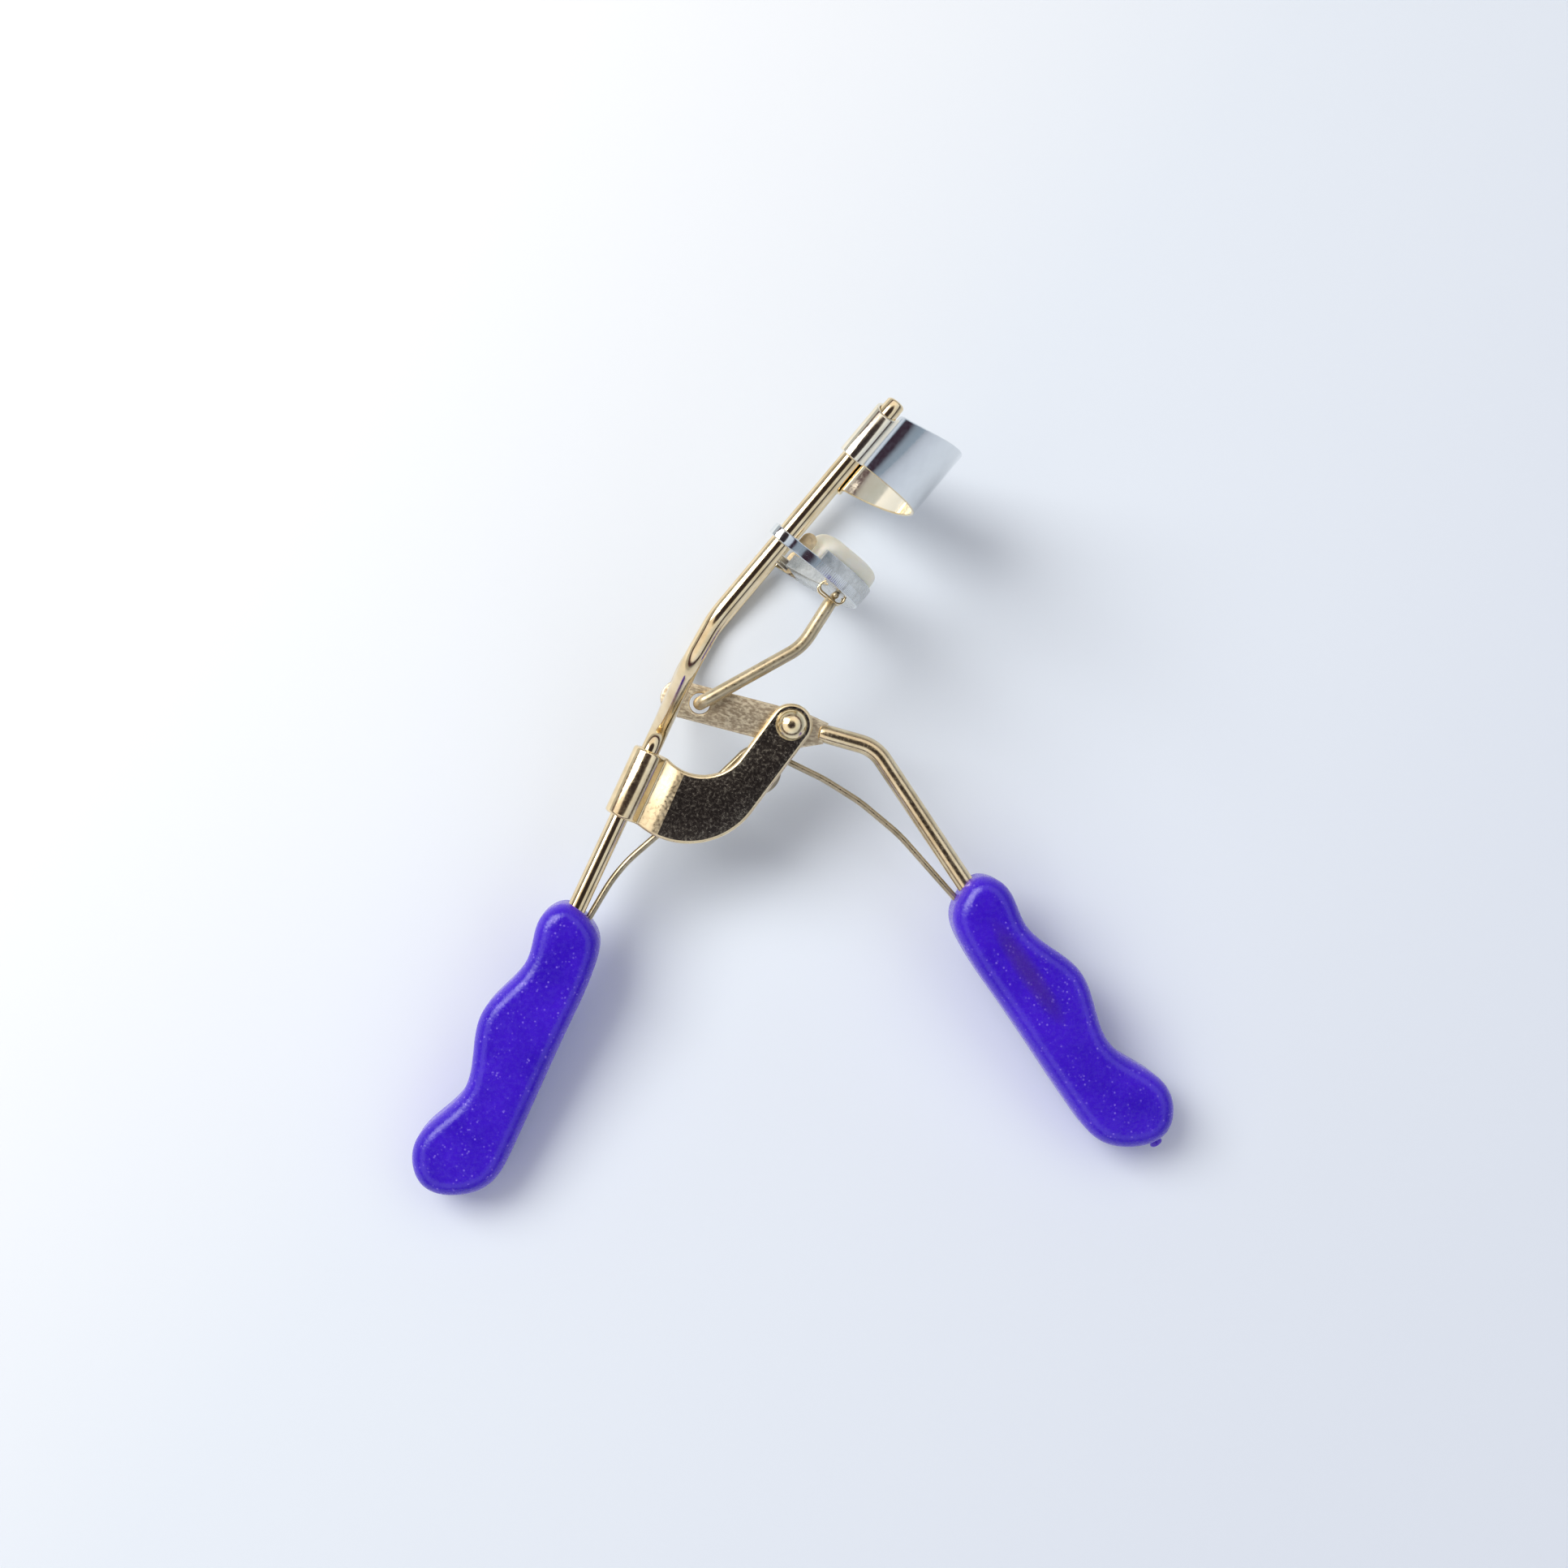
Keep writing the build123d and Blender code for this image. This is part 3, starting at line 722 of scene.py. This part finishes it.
def pivot_rivet():
    """Two domed heads and the shank between them."""
    r_head, h_head, shank_r, rings = 3.95 / 2, 1.3, 1.0, 16
    face = EAR_INSIDE + EAR_SHEET
    r_dome = (r_head ** 2 + h_head ** 2) / (2 * h_head)
    profile = []
    limit = math.asin(r_head / r_dome)
    for k in range(1, rings + 1):
        a = limit * k / rings
        profile.append((r_dome * math.sin(a), face + h_head - r_dome + r_dome * math.cos(a)))
    shank = [(shank_r, face), (shank_r, -face)]
    lower = [(radius, -z) for radius, z in reversed(profile)]
    rivet = piece("pivot_rivet_turned", *lathe(PIVOT, profile + shank + lower), RIVET, "frame")
    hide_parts("pivot_rivet")


pivot_rivet()


# The spring's legs, from the coil to their ends inside the grips.
FRAME_LEG = ((-15.0, -5.6), (-20.8, -10.6), (-25.2, -18.0))
LEVER_LEG = ((5.0, 0.6), (9.6, -2.3), (14.5, -6.4), (22.9, -15.9))


def return_spring():
    """A coil between the bracket's ears, with one leg to each grip."""
    coil, coil_r, pitch = np.array((-3.46, 1.73)), 2.7, 0.9
    start, end, full_turn, turn_points = 64.0, 493.0, 360.0, 90
    wire_r, leg_bend_r, sides = 0.425, 20.0, 20
    half = pitch * (end - start) / (2 * full_turn)

    def coil_point(angle):
        a = math.radians(angle)
        z = -half + pitch * (angle - start) / full_turn
        return (coil[0] + coil_r * math.cos(a), coil[1] + coil_r * math.sin(a), z)

    frame_leg = [coil_point(end)] + [(x, y, half) for x, y in FRAME_LEG]
    lever_leg = [coil_point(start)] + [(x, y, -half) for x, y in LEVER_LEG]
    turn = [np.array(coil_point(end + (start - end) * k / turn_points)) for k in range(1, turn_points)]
    path = list(reversed(filleted(frame_leg, (leg_bend_r,) * 2))) + turn
    path += filleted(lever_leg, (leg_bend_r,) * 3)
    spring = piece("return_spring_wire", *tube(path, wire_r, sides), SPRING, None)
    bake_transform(spring)
    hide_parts("return_spring")


return_spring()


# ---- grips ----
# The outline's points run from the mouth, at low U, to the toe; V is towards the finger side.
GRIP_OUTLINE = (
    (7.0, 0.1), (3.0, 1.3), (1.4, 3.6), (0.9, 6.6), (3.4, 8.7), (9.0, 8.15), (17.8, 10.5),
    (27.4, 8.55), (36.4, 11.3), (40.2, 8.4), (39.4, 3.6), (36.2, 0.6), (32.0, 0.0), (24.0, 0.0),
    (15.0, 0.0))
GRIP_POINTS = 260
GRIP_HALF = 4.0
GRIP_EDGE_R = 2.1
GRIP_EDGE_STEPS = 10
# The plastic is painted paler, as painted light on its rounded sides, from this height over the
# mid-plane down, over this much height.
SIDE_LIGHT_TOP, SIDE_LIGHT_DEPTH = 3.6, 1.6


def closed_spline(points, count):
    """Evenly spaced points on the smooth closed curve through the given ones."""
    pts = np.array(points, float)
    n = len(pts)
    fineness = 40
    gap = np.linalg.norm(np.roll(pts, -1, 0) - pts, axis=1)
    system = np.zeros((n, n))
    right = np.zeros((n, 2))
    for i in range(n):
        j = (i + 1) % n
        system[i, i - 1] += gap[i - 1]
        system[i, i] += 2 * (gap[i - 1] + gap[i])
        system[i, j] += gap[i]
        right[i] = 6 * ((pts[j] - pts[i]) / gap[i] - (pts[i] - pts[i - 1]) / gap[i - 1])
    bend = np.linalg.solve(system, right)
    samples = []
    for i in range(n):
        j = (i + 1) % n
        t = np.linspace(0, 1, fineness, endpoint=False)[:, None] * gap[i]
        slope = (pts[j] - pts[i]) / gap[i] - gap[i] * (2 * bend[i] + bend[j]) / 6
        cubic = (bend[j] - bend[i]) / (6 * gap[i])
        samples.append(pts[i] + slope * t + bend[i] / 2 * t ** 2 + cubic * t ** 3)
    fine = np.vstack(samples)
    closed = np.vstack((fine, fine[:1]))
    length = np.concatenate(([0], np.cumsum(np.linalg.norm(np.diff(closed, axis=0), axis=1))))
    at = np.linspace(0, length[-1], count, endpoint=False)
    return np.stack([np.interp(at, length, closed[:, axis]) for axis in (0, 1)], axis=1)


def grip(node, body, material, origin, angle_deg, outward, extras=()):
    """The finger grip: a plate of the grip's outline with fully rounded edges."""
    outline = closed_spline(GRIP_OUTLINE, GRIP_POINTS)
    onward = np.roll(outline, -1, 0)
    if np.sum(outline[:, 0] * onward[:, 1] - onward[:, 0] * outline[:, 1]) < 0:
        outline = outline[::-1]
    a = math.radians(angle_deg)
    c, s = math.cos(a), math.sin(a)

    def to_point(u, v, level):
        w = v * outward
        return (origin[0] + u * c - w * s, origin[1] + u * s + w * c, level)

    skin = plate([outline], -GRIP_HALF, GRIP_HALF, GRIP_EDGE_R, to_point, steps=GRIP_EDGE_STEPS)
    verts, faces = joined(skin, *(extra(to_point) for extra in extras))
    sharp_deg = 60.0
    obj = piece(node + "_moulding", verts, faces, material, body, sharp_deg)
    # The edge attribute carries painted light: near the silhouette the rounded sides are painted paler.
    edge = obj.data.attributes.new("edge", "FLOAT", "POINT")
    side_lightness = [(SIDE_LIGHT_TOP - abs(v[2])) / SIDE_LIGHT_DEPTH for v in verts]
    edge.data.foreach_set("value", [min(1.0, max(0.0, value)) for value in side_lightness])
    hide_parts(node)


def sprue_nub(to_point):
    """The stub left where the moulding was cut from its runner: radii, and distances out of the toe."""
    profile = ((0.85, -0.5), (0.70, 0.25), (0.58, 0.7), (0.80, 0.95), (0.80, 1.15), (0.65, 1.3))
    toe_u, nub_v, sides = 40.2, 6.5, 16
    rings = []
    for radius, out in profile:
        ring = []
        for k in range(sides):
            b = 2 * math.pi * k / sides
            ring.append(to_point(toe_u + out, nub_v + radius * math.cos(b), radius * math.sin(b)))
        rings.append(ring)
    return loft(rings)


grip("frame_grip", "frame", VIOLET, origin=(-20.75, -16.65), angle_deg=-114.6, outward=-1)
grip("lever_grip", "lever", VIOLET_HOLLOW_SHADE, origin=(18.1, -14.4), angle_deg=-55.9, outward=1,
     extras=(sprue_nub,))


# ---- lever body ----
BAR_LENGTH = 16.7
BAR_HALF = 2.3
BAR_THICKNESS = 1.5
BAR_EDGE_R = 0.2
BAR_DROP = 0.4
NOSE_HALF = 1.35
TAPER_START, NOSE_END, WIRE_START = 1.4, 4.5, 3.6
HOLE_R = 1.3
BORE_R = 1.05
LEVER_BEND = (11.35, 4.55)
LEVER_ENTRY = (22.45, -12.1)
LEVER_BEND_R = 5.0
LEVER_DEPTH = 14.0


def bar_outline(along, square):
    """The flattened bar's outline, from its nose round its tail and back."""
    run_points, tail_points = 12, 24
    middle = np.array(PIVOT) - square * BAR_DROP
    tail = middle - along * (BAR_LENGTH - BAR_HALF)
    taper = middle + along * TAPER_START
    nose = np.array(PIVOT) + along * NOSE_END
    outline = [nose + square * NOSE_HALF, taper + square * BAR_HALF]
    for k in range(1, run_points):
        outline.append(taper + square * BAR_HALF + (tail - taper) * k / run_points)
    for k in range(tail_points + 1):
        a = math.radians(90 + 180 * k / tail_points)
        outline.append(tail + along * BAR_HALF * math.cos(a) + square * BAR_HALF * math.sin(a))
    for k in range(1, run_points):
        outline.append(tail - square * BAR_HALF + (taper - tail) * k / run_points)
    return outline + [taper - square * BAR_HALF, nose - square * NOSE_HALF]


def lever():
    """The wire, and the bar that its end is flattened into, with a hole for the link."""
    hole_step, bore_step, bar_edge_steps = 9.0, 12.0, 3
    wire_edge, wire_sides = 0.4, 48
    along = np.array((math.cos(BAR_SLOPE), math.sin(BAR_SLOPE)))
    square = np.array((-along[1], along[0]))
    hole = arc2(LINK_HOLE, HOLE_R, 360.0, 0.0, hole_step)[:-1]
    bore = arc2(PIVOT, BORE_R, 360.0, 0.0, bore_step)[:-1]
    bar = plate([bar_outline(along, square), hole, bore], -BAR_THICKNESS / 2, BAR_THICKNESS / 2,
                BAR_EDGE_R, flat, bar_edge_steps)
    start = np.array(PIVOT) + along * WIRE_START
    bend, entry = np.array(LEVER_BEND), np.array(LEVER_ENTRY)
    into = (entry - bend) / np.linalg.norm(entry - bend)
    points = [(*start, 0.0), (*bend, 0.0), (*(entry + into * LEVER_DEPTH), 0.0)]
    wire = tube(filleted(points, (LEVER_BEND_R,)), ROD_R, wire_sides, (wire_edge, None))
    bar_piece = piece("lever_bar", *bar, BAR_GOLD, "lever")
    wire_piece = piece("lever_wire", *wire, LEVER_GOLD, "lever")
    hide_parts("lever")


lever()


# ---- link body ----
# Where the link's crossbar lies in the jaw's eye: out from the rods' line, and up along it.
LINK_TOP = (9.3, 22.1)


def link_wire():
    """The wire hooked through the lever's hole, with a crossbar at its jaw end."""
    hook_half, bend_side = 1.9, 1.0
    shaft_r, shaft_sides, shaft_back = 0.85, 36, 0.3
    bar_r, bar_sides, bar_half, bar_points = 0.45, 24, 2.7, 13
    bend_radii, bend_step = (1.15, 7.0), 0.25
    top = np.array(head(*LINK_TOP))
    bend = np.array((2.2, 17.2, bend_side))
    back = top - np.array((bend[0], bend[1], 0.0))
    shaft_end = top - back / np.linalg.norm(back) * shaft_back
    points = [(*LINK_HOLE, -hook_half), (*LINK_HOLE, hook_half), bend, shaft_end]
    shaft = tube(filleted(points, bend_radii, bend_step), shaft_r, shaft_sides)
    across = [(top[0], top[1], z) for z in np.linspace(-bar_half, bar_half, bar_points)]
    crossbar = tube(across, bar_r, bar_sides)
    link = piece("link_wire_bent", *joined(shaft, crossbar), SATIN_GOLD, "link")
    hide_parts("link_wire")


link_wire()


# ---- slider body ----
STRIP_TALL = 1.4
STRIP_OUT = 1.9
LOOP_PLAY = 0.20
CHANNEL_HALF = 2.3
CHANNEL_TALL = 2.75
EYE_INNER, EYE_OUTER = 1.3, 2.7
PAD_HALF = 1.9
PAD_END_DEG = 52.0


def strip_line():
    """Half of the sliding jaw's strip: from the loop's inner side round the rod to the mid-plane."""
    run_start, run_step, run_points, loop_step = 2.6, 0.4, 7, 6.0
    sweep_points, ease_points = 60, 8.0
    loop_r = ROD_R + LOOP_PLAY + SHEET / 2
    strip_r = LASH_R + STRIP_OUT + SHEET / 2
    rod = (0.0, HALF_SPACING)
    leave = math.degrees(math.atan2(HALF_SPACING, -LASH_CENTRE))
    run_in = [(run_start - run_step * k, HALF_SPACING - loop_r) for k in range(run_points)]
    loop = arc2(rod, loop_r, 270.0, leave, loop_step)
    outer_r = math.hypot(HALF_SPACING, LASH_CENTRE) + loop_r
    line = []
    for k in range(1, sweep_points):
        a = math.radians(leave * (1 - k / sweep_points))
        ease = min(1.0, k / ease_points)
        radius = outer_r + (strip_r - outer_r) * (3 * ease ** 2 - 2 * ease ** 3)
        line.append((LASH_CENTRE + radius * math.cos(a), radius * math.sin(a)))
    return run_in + loop + line


def low_strip(side):
    """The sliding jaw's edge away from the pad, which is also the channel's floor."""
    return brow(LOWER_FOOT, CHANNEL_RISE, side)


def high_strip(side):
    """The sliding jaw's other edge, on the strip that loops round the rods."""
    return brow(LOWER_FOOT + STRIP_TALL, CHANNEL_RISE, side)


def channel_skin():
    """The U-shaped channel that holds the pad."""
    outer, inner = LASH_R + CHANNEL_HALF, LASH_R - CHANNEL_HALF
    wall, tall, e = SHEET, CHANNEL_TALL, 0.1
    half_angle = 51
    section = (
        (outer - e, 0.0), (outer, e), (outer, tall - e), (outer - e, tall), (outer - wall + e, tall),
        (outer - wall, tall - e), (outer - wall, wall + e), (outer - wall - e, wall),
        (inner + wall + e, wall), (inner + wall, wall + e), (inner + wall, tall - e),
        (inner + wall - e, tall), (inner + e, tall), (inner, tall - e), (inner, e), (inner + e, 0.0))
    rings = []
    for degree in range(-half_angle, half_angle + 1):
        a = math.radians(degree)
        ring = []
        for radius, level in section:
            side = radius * math.sin(a)
            ring.append(head(LASH_CENTRE + radius * math.cos(a), low_strip(side) + level, side))
        rings.append(ring)
    return loft(rings)


def slot_loop(length, height, count=16):
    """A long round-ended loop about the origin, anticlockwise."""
    r = height / 2
    run = length / 2 - r
    return arc2((run, 0), r, -90, 90, 180 / count) + arc2((-run, 0), r, 90, 270, 180 / count)


def eye_skin(z_start, z_end):
    """One half of the rolled eye below the channel, which the link's crossbar lies in."""
    length, height, wall, edge_r = 3.55, 1.45, 0.25, 0.08
    reach, level_up = LINK_TOP[0] - 0.5, LINK_TOP[1]

    def to_point(u, level, v):
        return head(reach + u, level_up + v, level)

    return ribbon(slot_loop(length, height), wall, lambda v: z_start, lambda v: z_end, to_point,
                  edge_r, closed=True)


def tab_skin(side):
    """The round-ended tab beside a rod."""
    reach, level_up, from_rod = 2.5, LOWER_FOOT + 1.6, 0.26
    length, height, half, edge_r = 3.2, 1.9, 0.2, 0.15
    loop_points, edge_steps = 20, 3

    def to_point(u, v, level):
        return head(reach + u, level_up + v, side * (HALF_SPACING - ROD_R - from_rod) + level)

    loop = [(-v, u) for u, v in slot_loop(length, height, loop_points)]
    return plate([loop], -half, half, edge_r, to_point, edge_steps)


def lower_jaw():
    """The strip looped round both rods, the channel, the eye's two halves and the tabs."""
    strip_edge, sharp_deg = 0.13, 50.0
    strip = ribbon(mirrored(strip_line()), SHEET, low_strip, high_strip, head, strip_edge)
    parts = [strip, channel_skin(), eye_skin(EYE_INNER, EYE_OUTER),
             eye_skin(-EYE_OUTER, -EYE_INNER), tab_skin(1), tab_skin(-1)]
    jaw = piece("lower_jaw_folded", *joined(*parts), (CHROME, JAW_CHANNEL_SHADE, JAW_EDGE, TAB_GOLD),
                "slider", sharp_deg)
    # The channel takes the darker grey copy of the chrome: painted shade.
    chrome, grey, edge, tab = 0, 1, 2, 3
    looks = (chrome, grey, edge, edge, tab, tab)
    paint(jaw, [look for look, (_, faces) in zip(looks, parts) for _ in faces])
    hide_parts("lower_jaw")


def jaw_pad():
    """The silicone strip: straight sides, a crowned top and rounded ends."""
    stations, crown_points, sharp_deg = 140, 28, 60.0
    end_round, droop_run, droop_most = 1.6, 3.5, 0.9
    end_share, shoulder, crown = 0.55, 0.62, 0.5
    least_lift = 0.35
    rings = []
    for k in range(stations + 1):
        a = PAD_END_DEG * (-1 + 2 * k / stations)
        from_end = math.radians(PAD_END_DEG - abs(a)) * LASH_R
        rounding = math.sqrt(max(0.0, 1 - max(0.0, 1 - from_end / end_round) ** 2))
        droop = droop_most * max(0.0, 1 - from_end / droop_run) ** 2
        share = end_share + (1 - end_share) * rounding
        angle = math.radians(a)

        def pad_point(offset, lift):
            """A point this far across the pad, and this share of the way from its base to its top."""
            radius = LASH_R + offset
            side = radius * math.sin(angle)
            base = brow(LOWER_FOOT + SHEET, CHANNEL_RISE, side)
            top = brow(PAD_TOP, BROW_RISE, side) - droop
            return head(LASH_CENTRE + radius * math.cos(angle), base + (top - base) * lift, side)

        ring = []
        for j in range(crown_points + 1):
            b = math.pi * j / crown_points
            across = math.cos(b)
            offset = PAD_HALF * share * math.copysign(abs(across) ** shoulder, across)
            lift = abs(math.sin(b)) ** crown * (least_lift + (1 - least_lift) * rounding)
            ring.append(pad_point(offset, end_share + (1 - end_share) * lift))
        ring += [pad_point(offset * share, 0.0) for offset in (-PAD_HALF, PAD_HALF)]
        rings.append(ring)
    pad = piece("jaw_pad_silicone", *loft(rings), CREAM, "slider", sharp_deg)
    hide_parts("jaw_pad")


lower_jaw()
jaw_pad()


# ---- stage ----
FLOOR_HALF = 3.0
FLOOR_LIGHT_FALLOFF = (0.8, -0.6, 0.0)


def floor():
    """A plain pale bluish floor, as in the photo, painted whiter at the corner towards the key light
    and darker and bluer at the other: painted light falloff.
    """
    material, nodes, links, shader = new_material("floor_light_falloff_look")
    coords = nodes.new("ShaderNodeTexCoord")
    # Painted light: the tone runs from white on the key light's side to a darker blue away from it.
    towards_dim = nodes.new("ShaderNodeVectorMath")
    towards_dim.operation = "DOT_PRODUCT"
    towards_dim.inputs[1].default_value = FLOOR_LIGHT_FALLOFF
    links.new(coords.outputs["Object"], towards_dim.inputs[0])
    tone = spread(nodes, links, towards_dim.outputs["Value"], 0.0, 1.0, -0.10, 0.10)
    stops = ((0.0, (0.90, 0.92, 0.93)), (0.45, (0.78, 0.84, 0.91)), (1.0, (0.75, 0.81, 0.90)))
    links.new(ramp(nodes, links, tone, stops), shader.inputs["Base Color"])
    shader.inputs["Roughness"].default_value = 0.6
    shader.inputs["Specular IOR Level"].default_value = 0.25
    mesh = bpy.data.meshes.new("floor")
    corners = [(x * FLOOR_HALF, y * FLOOR_HALF, 0) for x, y in ((-1, -1), (1, -1), (1, 1), (-1, 1))]
    mesh.from_pydata(corners, [], [(0, 1, 2, 3)])
    mesh.materials.append(material)
    obj = bpy.data.objects.new("floor", mesh)
    bpy.context.scene.collection.objects.link(obj)


floor()


def axes(origin, z_axis, y_axis):
    """A placement whose local Z and Y are the given directions."""
    z = z_axis.normalized()
    x = y_axis.cross(z).normalized()
    y = z.cross(x)
    matrix = Matrix((x, y, z)).transposed().to_4x4()
    matrix.translation = origin
    return matrix


def area_light(name, at, towards, size, power, colour):
    """A rectangular soft light at a point of the drawing, facing another."""
    data = bpy.data.lights.new(name, "AREA")
    data.shape = "RECTANGLE"
    data.size, data.size_y = size
    data.energy = power
    data.color = colour
    obj = bpy.data.objects.new(name, data)
    bpy.context.scene.collection.objects.link(obj)
    start = place(*at)
    obj.matrix_world = axes(start, start - place(*towards), Y_AXIS)


area_light("key", at=(-420, 330, 520), towards=(0, 0, 0), size=(0.50, 0.42), power=3.8,
           colour=(1.0, 0.985, 0.96))
WORLD_STRENGTH = 1.05


def surroundings():
    """The studio that the metal mirrors, drawn round the direction across the tool.

    It has a dark patch overhead, a bright ring, a dark violet band and a grey-blue horizon, and
    all of it is dimmer on the jaws' outward side.
    """
    world = bpy.data.worlds.new("studio")
    bpy.context.scene.world = world
    world.use_nodes = True
    nodes, links = world.node_tree.nodes, world.node_tree.links
    background = nodes["Background"]
    coords = nodes.new("ShaderNodeTexCoord")
    lean = nodes.new("ShaderNodeVectorMath")
    lean.operation = "DOT_PRODUCT"
    lean.inputs[1].default_value = tuple(SIDE)
    links.new(coords.outputs["Generated"], lean.inputs[0])
    sky = ramp(nodes, links, lean.outputs["Value"], (
        (0.00, (0.50, 0.56, 0.62)), (0.24, (0.47, 0.50, 0.54)), (0.31, (0.07, 0.035, 0.05)),
        (0.44, (0.07, 0.035, 0.05)), (0.50, (0.92, 0.93, 1.0)), (0.86, (1.0, 1.0, 1.0)),
        (0.915, (0.07, 0.055, 0.06)), (1.0, (0.03, 0.025, 0.03))))
    across = nodes.new("ShaderNodeVectorMath")
    across.operation = "DOT_PRODUCT"
    across.inputs[1].default_value = tuple(OUTWARD)
    links.new(coords.outputs["Generated"], across.inputs[0])
    tint = ramp(nodes, links, across.outputs["Value"], (
        (0.0, (1.0, 0.95, 0.90)), (0.35, (0.86, 0.90, 0.95)), (0.9, (0.62, 0.68, 0.74))))
    tinted = nodes.new("ShaderNodeMix")
    tinted.data_type = "RGBA"
    tinted.blend_type = "MULTIPLY"
    tinted.inputs["Factor"].default_value = 1.0
    links.new(sky, tinted.inputs["A"])
    links.new(tint, tinted.inputs["B"])
    links.new(tinted.outputs["Result"], background.inputs["Color"])
    background.inputs["Strength"].default_value = WORLD_STRENGTH


surroundings()


# The camera looks straight across the tool. Its distance, the width that it sees at the mid-plane
# and the place that it stands over are in millimetres of the drawing.
CAMERA_DISTANCE = 257.0
SEEN_WIDTH = 196.5
CAMERA_OVER = (-11.9, 11.0)
NEAREST_SEEN = 0.01


def camera():
    """The photo's camera, shifted so that the drawing's origin is at the middle of the frame."""
    data = bpy.data.cameras.new("camera")
    data.sensor_width = 36.0
    data.lens = data.sensor_width * CAMERA_DISTANCE / SEEN_WIDTH
    data.shift_x = -CAMERA_OVER[0] / SEEN_WIDTH
    data.shift_y = -CAMERA_OVER[1] / SEEN_WIDTH
    data.clip_start = NEAREST_SEEN
    obj = bpy.data.objects.new("camera", data)
    bpy.context.scene.collection.objects.link(obj)
    obj.matrix_world = axes(place(*CAMERA_OVER, CAMERA_DISTANCE), SIDE, Y_AXIS)
    bpy.context.scene.camera = obj
    bpy.context.scene.view_settings.view_transform = "Standard"


camera()
